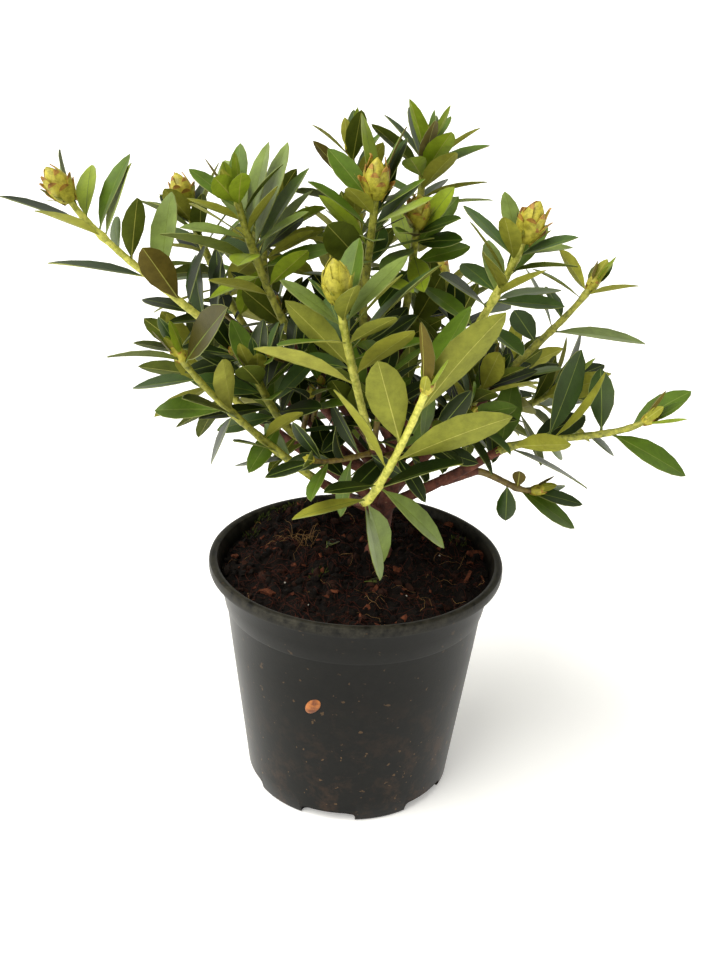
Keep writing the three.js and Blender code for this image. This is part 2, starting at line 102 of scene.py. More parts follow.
def cut_notches(piece):
    """Cuts the drain notches out of the pot's foot with one block for each."""
    bpy.ops.object.select_all(action="DESELECT")
    blocks = []
    for number in range(DRAIN_COUNT):
        turn = math.radians(DRAIN_FIRST_DEG + number * 360 / DRAIN_COUNT)
        reach = DRAIN_REACH * MM
        place = (reach * math.cos(turn), reach * math.sin(turn), DRAIN_HEIGHT * MM)
        bpy.ops.mesh.primitive_cube_add(size=1, location=place, rotation=(0, 0, turn - math.pi / 2))
        block = bpy.context.object
        block.scale = [side * MM for side in DRAIN_SIZE]
        blocks.append(block)
    for block in blocks:
        block.select_set(True)
    bpy.ops.object.join()
    bpy.ops.object.transform_apply()
    cutter = bpy.context.object
    rounding = cutter.modifiers.new("corners", "BEVEL")
    rounding.width = DRAIN_CORNER * MM
    rounding.segments = 4
    bpy.ops.object.modifier_apply(modifier="corners")
    bpy.ops.object.select_all(action="DESELECT")
    bpy.context.view_layer.objects.active = piece
    piece.select_set(True)
    cut = piece.modifiers.new("notches", "BOOLEAN")
    cut.operation = "DIFFERENCE"
    cut.solver = "EXACT"
    cut.object = cutter
    bpy.ops.object.modifier_apply(modifier="notches")
    bpy.data.objects.remove(cutter)


def linear(red, green, blue):
    """A colour as the eye sees it, 0 to 255, in the units that a shader takes."""
    shares = (value / 255 for value in (red, green, blue))
    return tuple(s / 12.92 if s <= 0.04045 else ((s + 0.055) / 1.055) ** 2.4 for s in shares) + (1,)


def new_finish(name, colour, roughness, specular=0.5):
    """A material with its colour, roughness and gloss set on the shader itself."""
    material = bpy.data.materials.new(name)
    material.use_nodes = True
    shader = material.node_tree.nodes["Principled BSDF"]
    shader.inputs["Base Color"].default_value = colour
    shader.inputs["Roughness"].default_value = roughness
    shader.inputs["Specular IOR Level"].default_value = specular
    return material, material.node_tree, shader


def add_node(tree, kind, inputs, **settings):
    """A node of a finish; each input is a plain value or another node's output."""
    made = tree.nodes.new(kind)
    for key, value in settings.items():
        setattr(made, key, value)
    for key, value in inputs.items():
        if isinstance(value, bpy.types.NodeSocket):
            tree.links.new(value, made.inputs[key])
        else:
            made.inputs[key].default_value = value
    return made


def object_place(tree):
    return add_node(tree, "ShaderNodeTexCoord", {}).outputs["Object"]


def cloudy(tree, place, scale, detail=5, roughness=0.6):
    """Soft noise, with this many blotches to the metre."""
    inputs = {"Vector": place, "Scale": scale, "Detail": detail, "Roughness": roughness}
    return add_node(tree, "ShaderNodeTexNoise", inputs).outputs["Fac"]


def ramp(tree, value, low, high, start=0.0, end=1.0):
    """Runs from start to end as a value goes from low to high."""
    inputs = {"Value": value, "From Min": low, "From Max": high, "To Min": start, "To Max": end}
    return add_node(tree, "ShaderNodeMapRange", inputs).outputs["Result"]


def times(tree, first, second):
    return add_node(tree, "ShaderNodeMath", {0: first, 1: second}, operation="MULTIPLY").outputs["Value"]


def mixed(tree, share, first, second):
    """The second colour laid over the first by a share."""
    return add_node(tree, "ShaderNodeMix", {0: share, 6: first, 7: second}, data_type="RGBA").outputs[2]


def add_bump(tree, shader, height, strength, depth):
    """Fine relief on a finish, this many millimetres deep."""
    inputs = {"Height": height, "Strength": strength, "Distance": depth * MM}
    tree.links.new(add_node(tree, "ShaderNodeBump", inputs).outputs["Normal"], shader.inputs["Normal"])


def blotchy(name, colours, gloss, blotches, edges):
    """A finish that drifts from a dark to a light colour in soft blotches, with the parts to add more to."""
    dark, light = (linear(*colour) for colour in colours)
    material, tree, shader = new_finish(name, light, *gloss)
    place = object_place(tree)
    colour = mixed(tree, ramp(tree, cloudy(tree, place, *blotches), *edges), dark, light)
    tree.links.new(colour, shader.inputs["Base Color"])
    return material, tree, shader, place, colour


def pot_plastic():
    """Black plastic, dusty on its rim, with earth smeared low down and on the right and some specks."""
    material, tree, shader = new_finish("pot_plastic", linear(*POT_BLACK), 0.34, 0.14)
    place = object_place(tree)
    axes = add_node(tree, "ShaderNodeSeparateXYZ", {"Vector": place})
    dust = ramp(tree, cloudy(tree, place, 230, 8, 0.7), 0.36, 0.8)
    rim = ramp(tree, axes.outputs["Z"], 0.104, 0.108, 0.06, 1)
    dusty = times(tree, dust, rim)
    colour = mixed(tree, dusty, linear(*POT_BLACK), linear(*POT_DUST))
    foot = ramp(tree, axes.outputs["Z"], 0.075, 0.0)
    side = ramp(tree, axes.outputs["X"], 0.015, 0.045, 0.35, 0.7)
    soiled = times(tree, foot, side)
    smear = ramp(tree, cloudy(tree, place, 90, 9, 0.78), 0.49, 0.64)
    colour = mixed(tree, times(tree, smear, soiled), colour, linear(*POT_EARTH))
    specks = ramp(tree, cloudy(tree, place, 300, 4, 0.5), 0.675, 0.7)
    dotted = times(tree, specks, ramp(tree, axes.outputs["Z"], 0.1, 0.02, 0.3, 1))
    colour = mixed(tree, dotted, colour, linear(*POT_SPECK))
    tree.links.new(colour, shader.inputs["Base Color"])
    tree.links.new(ramp(tree, dusty, 0, 1, 0.32, 0.7), shader.inputs["Roughness"])
    add_bump(tree, shader, cloudy(tree, place, 700, 3), 0.2, 0.12)
    return material


def finish_piece(piece, slot, *replaced):
    """A finished piece rides on the plant's one body and stands for these solids; its slot is not used."""
    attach(piece, "root")
    if replaced:
        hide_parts(*replaced)
    return piece


pot = turned_piece("pot_shell", POT_SIDES, POT_OUTSIDE + POT_INSIDE)
cut_notches(pot)
bpy.ops.object.shade_smooth_by_angle(angle=math.radians(POT_CREASE_DEG))
pot.data.materials.append(pot_plastic())
finish_piece(pot, "pot", "pot")

# A shed bud scale sticks to the front of the pot: a small orange-brown flake, domed outwards.
FLAKE_PLACE = (-15.4, -52.2, 64.1)
FLAKE_HALF = (2.7, 1.1, 4.6)
FLAKE_TILT_DEG = 35
FLAKE_COLOURS = ((100, 50, 18), (168, 100, 42))
bpy.ops.object.select_all(action="DESELECT")
bpy.ops.mesh.primitive_uv_sphere_add(segments=20, ring_count=10, radius=MM)
flake = bpy.context.object
flake.name = "stuck_bud_scale"
flake.scale = FLAKE_HALF
flake_heading = math.atan2(FLAKE_PLACE[1], FLAKE_PLACE[0])
flake.rotation_euler = (0, math.radians(FLAKE_TILT_DEG), flake_heading + math.pi / 2)
flake.location = [side * MM for side in FLAKE_PLACE]
bpy.ops.object.transform_apply(location=True, rotation=True, scale=True)
bpy.ops.object.shade_smooth()
flake_brown, *_parts = blotchy("flake_brown", FLAKE_COLOURS, (0.5, 0.4), (300,), (0.38, 0.62))
flake.data.materials.append(flake_brown)
finish_piece(flake, "pot")

# Soil: moist dark peat and bark mix that fills the pot, heaped against the back wall and sunk at the front.
# Its top is uneven, with clods pressed into it by hand.
SOIL_SIDES = 192
SOIL_WALL = ((44.7, 2.4), (55.3, 88.4), (58.5, 100.4))
SOIL_RINGS = 46
SOIL_EDGE = 59.2
SOIL_LEVEL = 102
SOIL_CROWN, SOIL_FALL = 105.6, 3.6
CLOD_HEIGHT, LUMP_HEIGHT = 3.2, 1.4
SOIL_COLOURS, SOIL_RUST = ((5, 4, 3), (27, 17, 11)), (70, 38, 24)
# The heaps: the middle of each, how wide, deep and high.
MOUNDS = (
    (-30, 44, 26, 15, 7.5),
    (40, 36, 20, 16, 4.5),
    (2, 52, 20, 8, 2.5),
    (-24, 10, 16, 14, 3),
)


def soil_height(x, y):
    """How high the soil lies: a low crown, the heaps, and clods of two sizes."""
    reach = math.hypot(x, y) / SOIL_EDGE
    height = SOIL_CROWN - SOIL_FALL * reach ** 2
    for middle_x, middle_y, wide, deep, high in MOUNDS:
        height += high * math.exp(-((x - middle_x) / wide) ** 2 - ((y - middle_y) / deep) ** 2)
    clods = CLOD_HEIGHT * noise.fractal(Vector((x, y, 7)) * 0.085, 0.7, 2.1, 3)
    lumps = LUMP_HEIGHT * noise.fractal(Vector((x, y, 31)) * 0.4, 0.6, 2.2, 3)
    settled = min(1, max(0, (1 - reach) * 9))
    return height + clods * (0.35 + 0.65 * settled) + lumps


def soil_peat():
    material, tree, shader, place, colour = blotchy("soil_peat", SOIL_COLOURS, (0.95, 0.2), (260, 8, 0.75),
                                                    (0.38, 0.66))
    rusty = ramp(tree, cloudy(tree, place, 700, 4, 0.7), 0.64, 0.76)
    tree.links.new(mixed(tree, rusty, colour, linear(*SOIL_RUST)), shader.inputs["Base Color"])
    add_bump(tree, shader, cloudy(tree, place, 900, 6, 0.75), 0.9, 1.2)
    return material


soil_top = tuple((SOIL_EDGE * (1 - step / SOIL_RINGS) + 0.6, SOIL_LEVEL) for step in range(SOIL_RINGS))
soil = turned_piece("soil_bed", SOIL_SIDES, SOIL_WALL + soil_top)
for corner in soil.data.vertices:
    if corner.co.z > (SOIL_LEVEL - 1) * MM:
        corner.co.z = soil_height(corner.co.x / MM, corner.co.y / MM) * MM
bpy.ops.object.shade_smooth()
peat = soil_peat()
soil.data.materials.append(peat)
finish_piece(soil, "soil", "soil")

# Loose soil: crumbs of peat, chips of pine bark, torn root fibres and white grains of fertiliser lie on the
# soil as they fell when the plant was potted, with a little moss where it stays damp.
CRUMBS, CRUMB_SIZE, DARK_CRUMBS = 3200, (0.35, 2.3), 0.2
CHIPS, CHIP_SIZE, RUST_CHIPS = 190, (1.6, 5), 0.4
BIG_CHIPS = ((49, -9), (55, 15), (-38, -30), (44, 40), (20, -46))
BIG_CHIP_SIZE = (8, 11)
FIBRES, TAN_FIBRES = 640, 0.06
FIBRE_LENGTH, FIBRE_THICK, FIBRE_LIFT = (4, 17), (0.06, 0.16), (0, 2.6)
BRISTLES, BRISTLES_AT, BRISTLE_SPREAD = 26, (-27, 13), 3.5
BRISTLE_LENGTH, BRISTLE_THICK, BRISTLE_LIFT = (5, 9), 0.11, (2, 6)
GRAINS = ((-54, 2), (-19, -37), (-30, -20), (22, -30), (38, 12), (6, 30), (-8, -48))
GRAIN_SIZE = (0.35, 0.6)
MOSS_TUFTS = ((-45, 38), (-38, 46), (-50, 28), (-31, 50), (-24, 53), (-15, 55), (-16, -14), (47, 22))
MOSS_BLADES, MOSS_REACH = 46, 3.6
CHIP_REACH, FIBRE_REACH, CRUMB_REACH = 57, 58, 58.5
FIBRE_STEPS = 7
STEM_FOOT, STEM_CLEARANCE = (10, 12), 9
# Each finish: its dark and light colour, its blotches to the metre and the depth of its relief.
LOOSE_FINISHES = {
    "bark_dark": (((26, 15, 10), (60, 33, 22)), 500, 0.6),
    "bark_rust": (((58, 28, 19), (128, 72, 47)), 500, 0.6),
    "fibre_brown": (((38, 17, 11), (88, 42, 28)), 400, 0.2),
    "fibre_tan": (((112, 82, 48), (168, 132, 84)), 400, 0.2),
    "grain_white": (((176, 170, 158), (226, 222, 214)), 900, 0.1),
    "moss_green": (((36, 46, 16), (84, 96, 34)), 600, 0.2),
}


class Heap:
    """Many small shapes that become one mesh: their points, faces and finishes."""

    def __init__(self):
        self.points = []
        self.faces = []
        self.finishes = []
        self.count = 0

    def add(self, points, faces, finishes):
        self.points.append(np.asarray(points))
        self.faces.extend(tuple(int(corner) + self.count for corner in face) for face in faces)
        self.finishes.extend(finishes if np.ndim(finishes) else [finishes] * len(faces))
        self.count += len(points)

    def piece(self, name, materials, smooth_deg=180):
        mesh = bpy.data.meshes.new(name)
        mesh.from_pydata((np.concatenate(self.points) * MM).tolist(), [], self.faces)
        for material in materials:
            mesh.materials.append(material)
        mesh.polygons.foreach_set("material_index", np.array(self.finishes, dtype=np.int32))
        made = bpy.data.objects.new(name, mesh)
        bpy.context.scene.collection.objects.link(made)
        bpy.ops.object.select_all(action="DESELECT")
        bpy.context.view_layer.objects.active = made
        made.select_set(True)
        bpy.ops.object.shade_smooth_by_angle(angle=math.radians(smooth_deg))
        return made


def unit(vector):
    return vector / np.linalg.norm(vector)


def pebble_shape():
    """The corners and faces of a small ball, as a start for a crumb."""
    bpy.ops.object.select_all(action="DESELECT")
    bpy.ops.mesh.primitive_ico_sphere_add(subdivisions=1, radius=1)
    ball = bpy.context.object
    corners = np.array([corner.co for corner in ball.data.vertices])
    faces = [tuple(face.vertices) for face in ball.data.polygons]
    bpy.data.objects.remove(ball)
    return corners, faces


def any_turn(dice):
    """A random turn as three axes at right angles."""
    axes, _rest = np.linalg.qr(dice.normal(size=(3, 3)))
    return axes * np.sign(np.linalg.det(axes))


def soil_place(dice, edge=CHIP_REACH):
    """A random place on the soil, off the stem's foot."""
    while True:
        reach = edge * math.sqrt(dice.random())
        turn = dice.uniform(0, 2 * math.pi)
        x, y = reach * math.cos(turn), reach * math.sin(turn)
        if math.hypot(x - STEM_FOOT[0], y - STEM_FOOT[1]) > STEM_CLEARANCE:
            return np.array([x, y, soil_height(x, y)])


def crumb(ball, size, dice):
    """A lumpy crumb: a ball pressed in here and there."""
    shift = dice.uniform(0, 90, 3)
    lumps = [1 + 0.55 * noise.noise(Vector(corner * 1.3 + shift)) for corner in ball]
    return (ball * np.array(lumps)[:, None] * dice.uniform(0.55, 1.1, 3) * size) @ any_turn(dice)


def bark_chip(length, dice):
    """A torn flake of bark: a thick six-cornered plate with a bent back, as points and faces."""
    turns = np.sort(dice.uniform(0, 2 * math.pi, 3).tolist() + [0.4, 2.2, 4.3])
    reach = dice.uniform(0.75, 1.1, 6)
    x = np.cos(turns) * reach * length / 2
    y = np.sin(turns) * reach * length * dice.uniform(0.2, 0.34)
    bend = 0.05 * length * (x / length) ** 2 * 8
    thick = length * dice.uniform(0.05, 0.1)
    top = np.stack([x * 0.9, y * 0.85, bend + thick], axis=1)
    foot = np.stack([x, y, bend - thick], axis=1)
    walls = [(k, 6 + k, 6 + (k + 1) % 6, (k + 1) % 6) for k in range(6)]
    faces = [tuple(range(6)), tuple(range(11, 5, -1))] + walls
    return np.concatenate([top, foot]), faces


def tube(points, radii, sides):
    """A closed round limb along points; its radii may differ round each ring."""
    points = np.asarray(points)
    radii = np.asarray(radii).reshape(len(points), -1)
    ahead = np.gradient(points, axis=0)
    ahead /= np.linalg.norm(ahead, axis=1)[:, None]
    side = unit(np.cross(ahead[0], (0.31, 0.52, -0.8)))
    turns = np.arange(sides) * 2 * math.pi / sides
    rings = []
    for point, forward, radius in zip(points, ahead, radii):
        side = unit(side - forward * side.dot(forward))
        other = np.cross(forward, side)
        out = np.cos(turns)[:, None] * side + np.sin(turns)[:, None] * other
        rings.append(point + radius[:, None] * out)
    faces = [tuple(range(sides - 1, -1, -1))]
    for step in range(len(points) - 1):
        for k in range(sides):
            near, beside = step * sides + k, step * sides + (k + 1) % sides
            faces.append((near, beside, beside + sides, near + sides))
    last = (len(points) - 1) * sides
    faces.append(tuple(range(last, last + sides)))
    return np.concatenate(rings), faces


def fibre(start, length, thick, lift, dice):
    """A torn root fibre that lies over the soil in a loose curl, or stands up from it by a lift."""
    heading = dice.uniform(0, 2 * math.pi)
    curl = dice.uniform(-0.45, 0.45)
    spots = []
    x, y = start[0], start[1]
    for step in range(FIBRE_STEPS + 1):
        share = step / FIBRE_STEPS
        reach = min(1, FIBRE_REACH / max(1, math.hypot(x, y)))
        x, y = x * reach, y * reach
        rise = 0.2 + lift * math.sin(2.2 * share) + 0.3 * dice.random()
        spots.append((x, y, soil_height(x, y) + rise))
        heading += curl + dice.uniform(-0.4, 0.4)
        x += math.cos(heading) * length / FIBRE_STEPS
        y += math.sin(heading) * length / FIBRE_STEPS
    return tube(spots, np.linspace(1, 0.4, FIBRE_STEPS + 1) * thick, 4)


def add_moss(heap, middle, dice):
    """A pad of moss: short blades that stand out of one spot."""
    for _blade in range(MOSS_BLADES):
        turn = dice.uniform(0, 2 * math.pi)
        reach = MOSS_REACH * math.sqrt(dice.random())
        x, y = middle[0] + reach * math.cos(turn), middle[1] + reach * math.sin(turn)
        foot = np.array([x, y, soil_height(x, y) - 0.2])
        tip = foot + np.array([math.cos(turn), math.sin(turn), 1.6]) * dice.uniform(0.7, 1.4)
        heap.add(*tube([foot, (foot + tip) / 2, tip], [0.28, 0.24, 0.06], 3), 0)


def crumbly(name):
    """A dull crumbled finish between two colours."""
    colours, blotches, deep = LOOSE_FINISHES[name]
    material, tree, shader, place, _colour = blotchy(name, colours, (0.92, 0.2), (blotches, 6, 0.7),
                                                     (0.35, 0.68))
    add_bump(tree, shader, cloudy(tree, place, 2.5 * blotches, 5, 0.7), 0.8, deep)
    return material


def lie_flat(points, spot, tilt, dice):
    """Points of a flat thing that lies on the soil, turned any way and tilted a little."""
    upward = unit(np.array([0, 0, 1]) + dice.normal(size=3) * tilt)
    first = unit(np.cross(any_turn(dice)[0], upward))
    return points @ np.stack([first, np.cross(upward, first), upward]) + spot


def place_loose_soil():
    dice = np.random.default_rng(11)
    ball, ball_faces = pebble_shape()
    crumbs, chips, fibres, grains, moss = Heap(), Heap(), Heap(), Heap(), Heap()
    for _number in range(CRUMBS):
        size = CRUMB_SIZE[0] + CRUMB_SIZE[1] * dice.random() ** 9
        spot = soil_place(dice, CRUMB_REACH) + (0, 0, 0.25 * size)
        crumbs.add(crumb(ball, size, dice) + spot, ball_faces, int(dice.random() < DARK_CRUMBS))
    for _number in range(CHIPS):
        points, faces = bark_chip(CHIP_SIZE[0] + CHIP_SIZE[1] * dice.random() ** 2, dice)
        points = lie_flat(points, soil_place(dice) + (0, 0, 0.4), 0.5, dice)
        chips.add(points, faces, int(dice.random() < RUST_CHIPS))
    for x, y in BIG_CHIPS:
        points, faces = bark_chip(dice.uniform(*BIG_CHIP_SIZE), dice)
        chips.add(lie_flat(points, (x, y, soil_height(x, y) + 1), 0.3, dice), faces, 1)
    for _number in range(FIBRES):
        points, faces = fibre(soil_place(dice), dice.uniform(*FIBRE_LENGTH), dice.uniform(*FIBRE_THICK),
                              dice.uniform(*FIBRE_LIFT), dice)
        fibres.add(points, faces, int(dice.random() < TAN_FIBRES))
    for _number in range(BRISTLES):
        spot = np.array(BRISTLES_AT) + dice.normal(size=2) * BRISTLE_SPREAD
        length, lift = dice.uniform(*BRISTLE_LENGTH), dice.uniform(*BRISTLE_LIFT)
        fibres.add(*fibre(spot, length, BRISTLE_THICK, lift, dice), 1)
    for x, y in GRAINS:
        spot = np.array([x, y, soil_height(x, y) + 0.7])
        grains.add(crumb(ball, dice.uniform(*GRAIN_SIZE), dice) + spot, ball_faces, 0)
    for middle in MOSS_TUFTS:
        add_moss(moss, middle, dice)
    bark_dark = crumbly("bark_dark")
    finish_piece(crumbs.piece("soil_crumbs", [peat, bark_dark], 40), "soil")
    finish_piece(chips.piece("bark_chips", [bark_dark, crumbly("bark_rust")], 25), "soil")
    finish_piece(fibres.piece("root_fibres", [crumbly("fibre_brown"), crumbly("fibre_tan")]), "soil")
    finish_piece(grains.piece("white_grains", [crumbly("grain_white")], 40), "soil")
    finish_piece(moss.piece("moss", [crumbly("moss_green")]), "soil")


place_loose_soil()

# Wood: a short woody stem with a flared foot, and the boughs that leave it or each other on all sides. The
# bark is thin, red-brown and slightly ridged, with the scars of fallen leaves.
STEM_LEAN = (7, -6)
STEM_FOOT_HEIGHT = 105.2
STEM_TOP_HEIGHT = 148.3
STEM_RADII = (4.6, 3.2)
STEM_FLARE = (1.5, 7)
BOUGH_RADII = (2.6, 1.9)
BOUGH_OUT, BOUGH_UP = 0.52, 0.46
TRUNK_SIDES, BOUGH_SIDES = 20, 14
BARK_STEP, RIDGE_DEPTH, KNOT_DEPTH = 1.3, 0.1, 0.09
BARK_COLOURS, BARK_SCURF = ((52, 25, 20), (116, 66, 48)), (138, 108, 84)


def at(heading, reach, height):
    turn = math.radians(heading)
    return np.array([reach * math.cos(turn), reach * math.sin(turn), height])


# Each spray: the limb its bough leaves, how far along that limb, the bough's tip as heading, reach and
# height, and its shoots. A shoot: its tip, its spiral leaves and their length, the lowest one's turn, its
# bud, and what some have: a fork off the first shoot, a bare share, and leaves that stand out, each by how
# far up, heading, rise, length and roll.
SPRAYS = {
    "far_left": ("trunk", 0.72, (177, 48, 197), [
        ((185, 116, 262), 0, 30, 70, "flower", {"stand_out": [
            (0.81, 229, 30, 34, -15), (0.82, 167, 20, 44, 35), (0.56, 175, 8, 42, 10),
            (0.9, 100, 40, 30, 5), (0.83, 78, 54, 36, 0), (0.8, 62, 60, 32, 5), (0.66, 293, 65, 32, -40),
            (0.5, 92, 62, 40, 15), (0.4, 238, 51, 34, -10), (0.31, 148, 9, 30, 25),
            (0.72, 109, 26, 24, -30), (0.93, 130, 44, 30, -70), (0.27, 114, 41, 34, -15),
            (0.2, 100, 60, 32, -10), (0.36, 80, 50, 32, -10)]})]),
    "left_low": ("trunk", 0.45, (228, 27, 154), [
        ((207, 78, 208), 0, 30, 300, "leaf", {"stand_out": [
            (0.87, 158, -13, 32, 0), (0.65, 165, -5, 34, -20), (0.57, 221, 36, 36, -50),
            (0.62, 145, -59, 30, -25), (0.63, 261, 62, 32, -10), (0.31, 221, 28, 30, -40),
            (0.23, 148, -16, 30, 25), (0.44, 69, -57, 28, 10), (0.19, 117, 21, 26, -25),
            (0.41, 326, 46, 26, -45), (1, 231, 21, 38, -5), (0.98, 307, 46, 40, 50)]})]),
    "front_low": ("left_low", 0.6, (273.2, 46.6, 156.6), [
        ((287.5, 73.4, 211.4), 0, 26, 10, "leaf", {"stand_out": [
            (0.61, 222, 69, 40, 95), (0.48, 356, 31, 48, -75), (0.8, 357, 60, 52, -80),
            (0.9, 61, 46, 44, -50), (0.97, 265, 69, 34, -15), (0.41, 194, 59, 40, 40),
            (0.22, 339, 34, 37, -15), (0.27, 217, 12, 26, 25), (0.1, 202, -2, 31, 30),
            (0.06, 30, -66, 33, -5), (0, 290, -40, 33, -60), (0.26, 5, -39, 38, 0)]})]),
    "front_centre": ("trunk", 0.9, (278, 36, 176), [
        ((260, 56, 239), 5, 36, 100, "flower", {"bare": 0.6, "stand_out": [
            (0.6, 211, 47, 36, 80), (0.5, 193, 27, 42, 40), (0.86, 46, 38, 38, -10), (0.7, 34, 44, 48, -25),
            (0.75, 313, 36, 30, -30), (0.56, 320, 45, 36, -35), (0.93, 134, 32, 20, 30)]})]),
    "right_low": ("trunk", 0.55, (351, 59, 166), [
        ((353, 116, 183), 0, 24, 200, "leaf", {"stand_out": [
            (0.89, 24, 29, 32, -40), (0.76, 354, -23, 38, 40), (0.71, 87, 52, 30, -80),
            (0.62, 28, -30, 20, 5), (0.35, 54, 51, 42, -30), (0.02, 72, 52, 32, -25),
            (0.23, 35, 15, 32, -40), (0.39, 348, 58, 36, -5), (0.08, 2, -20, 40, -15),
            (0.1, 338, 19, 30, -25), (0.33, 46, -36, 22, 20)]})]),
    "far_right": ("trunk", 0.8, (17, 66, 192), [
        ((15, 97, 227), 2, 26, 70, "leaf", {"bare": 0.9, "stand_out": [
            (0.51, 2, 1, 42, 10), (0.65, 102, 31, 22, -20), (0.54, 103, 49, 30, 5), (0.97, 109, 29, 26, 65),
            (0.35, 110, 20, 28, -55)]})]),
    "centre_left": ("trunk", 1, (188, 29, 208), [
        ((196, 53, 266), 8, 32, 120, "leaf", {"bare": 0.5, "stand_out": [
            (0.97, 249, 36, 26, 35), (0.72, 87, 68, 40, -30), (0.66, 62, 64, 45, -25),
            (0.64, 42, 54, 40, -10), (0.6, 41, 51, 36, -5), (0.62, 54, 29, 30, 0), (0.58, 215, 25, 44, 20),
            (0.42, 325, 44, 28, -50), (0.36, 217, 22, 30, 25), (0.74, 145, 23, 32, 40)]}),
        ((156, 47, 252), 9, 30, 30, "leaf", {"fork": 0.42})]),
    "leader": ("trunk", 1, (90, 6, 205), [
        ((288, 5, 267), 8, 33, 80, "flower", {"bare": 0.45, "stand_out": [
            (0.54, 235, 39, 38, 65), (0.95, 155, 44, 29, -30), (0.97, 102, 66, 35, 45),
            (0.98, 75, 64, 31, -50), (0.92, 56, 60, 32, -40)]}),
        ((106, 33, 278), 10, 28, 200, "leaf", {"fork": 0.2})]),
    "right_high": ("leader", 0.2, (350, 36, 200), [
        ((346, 61, 255), 9, 33, 60, "flower", {"bare": 0.35, "stand_out": [
            (0.87, 137, 35, 32, 0), (0.93, 90, 28, 26, 5), (0.62, 119, 18, 28, -25), (0.9, 28, 5, 26, 0),
            (0.57, 35, 5, 36, -15), (0.59, 308, 36, 30, 10)]})]),
    "right_top": ("leader", 0.45, (39, 19, 205), [
        ((58, 41, 281), 7, 31, 0, "leaf", {"bare": 0.6, "stand_out": [
            (0.9, 107, 45, 32, 20), (0.88, 272, 52, 32, 45), (0.86, 293, 44, 32, -5),
            (0.85, 237, 30, 28, 25), (0.88, 12, 23, 30, 25), (0.75, 342, 24, 29, -5),
            (0.72, 64, 19, 26, -10)]}),
        ((12, 19, 255), 7, 30, 140, "flower", {"fork": 0.3})]),
    "low_right": ("right_low", 0.5, (11, 52, 148), [
        ((10, 78, 138), 0, 28, 90, "leaf", {"stand_out": [
            (0.6, 75, -75, 24, 95), (0.75, 352, -30, 33, 40), (0.75, 24, -12, 28, 65), (0.9, 4, -12, 28, 25),
            (0.77, 266, 52, 18, 70)]})]),
    "right_back": ("far_right", 0.4, (24, 64, 166), [((20, 94, 182), 12, 32, 10, "leaf", {})]),
    "left_back": ("far_left", 0.45, (144, 64, 198), [((148, 94, 250), 14, 33, 80, "flower", {})]),
    "inner_left": ("trunk", 0.86, (200, 28, 168), [((208, 48, 198), 12, 32, 30, "leaf", {})]),
    "inner_right": ("right_high", 0.4, (4, 32, 168), [((5, 52, 190), 11, 31, 160, "leaf", {})]),
    "back_right": ("trunk", 0.86, (62, 59, 175), [((67, 83, 210), 13, 33, 40, "flower", {})]),
    "back_left": ("trunk", 0.8, (122, 65, 178), [((123, 101, 222), 13, 34, 110, "flower", {})]),
    "back_centre": ("leader", 0.3, (96, 48, 190), [((95, 85, 238), 13, 34, 190, "flower", {})]),
    "back_low_left": ("trunk", 0.55, (137, 66, 155), [((140, 110, 178), 14, 35, 230, "leaf", {})]),
    "back_low_right": ("trunk", 0.66, (53, 69, 152), [((50, 111, 172), 13, 35, 300, "leaf", {})]),
    "back_low": ("trunk", 0.42, (90, 58, 150), [((91, 105, 168), 13, 34, 20, "leaf", {})]),
}


def curve_through(*corners):
    """A smooth curve from the first corner to the last, drawn towards those between, with its lengths."""
    share = np.linspace(0, 1, 201)[:, None]
    layers = [np.broadcast_to(corner, (201, 3)) for corner in corners]
    while len(layers) > 1:
        layers = [first + (second - first) * share for first, second in zip(layers, layers[1:])]
    steps = np.linalg.norm(np.diff(layers[0], axis=0), axis=1)
    return layers[0], np.concatenate([[0], np.cumsum(steps)])


def point_on(curve, along):
    points, lengths = curve
    return np.array([np.interp(along * lengths[-1], lengths, points[:, axis]) for axis in range(3)])


def heading_on(curve, along):
    return unit(point_on(curve, min(1, along + 0.005)) - point_on(curve, max(0, along - 0.005)))


def chance(seed, index):
    """A repeatable number from -1 to 1 for each pair of seed and index."""
    wave = math.sin(seed * 12.9898 + index * 78.233) * 43758.5453
    return 2 * (wave - math.floor(wave)) - 1


def bark_limb(curve, radii, sides, seed, flare=(1, 1)):
    """A woody limb with ridges along it, shallow knots round it and a flare at its foot."""
    length = curve[1][-1]
    steps = max(8, int(length / BARK_STEP))
    shares = np.linspace(0, 1, steps + 1)
    spots = [point_on(curve, share) for share in shares]
    rings = []
    for share in shares:
        swell = 1 + (flare[0] - 1) * max(0, 1 - share * length / flare[1]) ** 2
        radius = (radii[0] + (radii[1] - radii[0]) * share) * swell
        ring = []
        for turn in np.arange(sides) * 2 * math.pi / sides:
            around = np.array([math.cos(turn), math.sin(turn)])
            ridge = noise.fractal(Vector((*(1.9 * around), share * length * 0.11 + 9 * seed)), 0.8, 2.2, 3)
            knot = noise.noise(Vector((*(0.6 * around), share * length * 0.3 + seed)))
            ring.append(radius * (1 + RIDGE_DEPTH * ridge + KNOT_DEPTH * max(0, knot)))
        rings.append(ring)
    return tube(spots, rings, sides)


def bark_finish():
    material, tree, shader, place, colour = blotchy("bark", BARK_COLOURS, (0.75, 0.35), (240, 7, 0.7),
                                                    (0.35, 0.68))
    scurf = ramp(tree, cloudy(tree, place, 650, 5, 0.7), 0.6, 0.74)
    tree.links.new(mixed(tree, scurf, colour, linear(*BARK_SCURF)), shader.inputs["Base Color"])
    add_bump(tree, shader, cloudy(tree, place, 900, 6, 0.7), 0.7, 0.5)
    return material


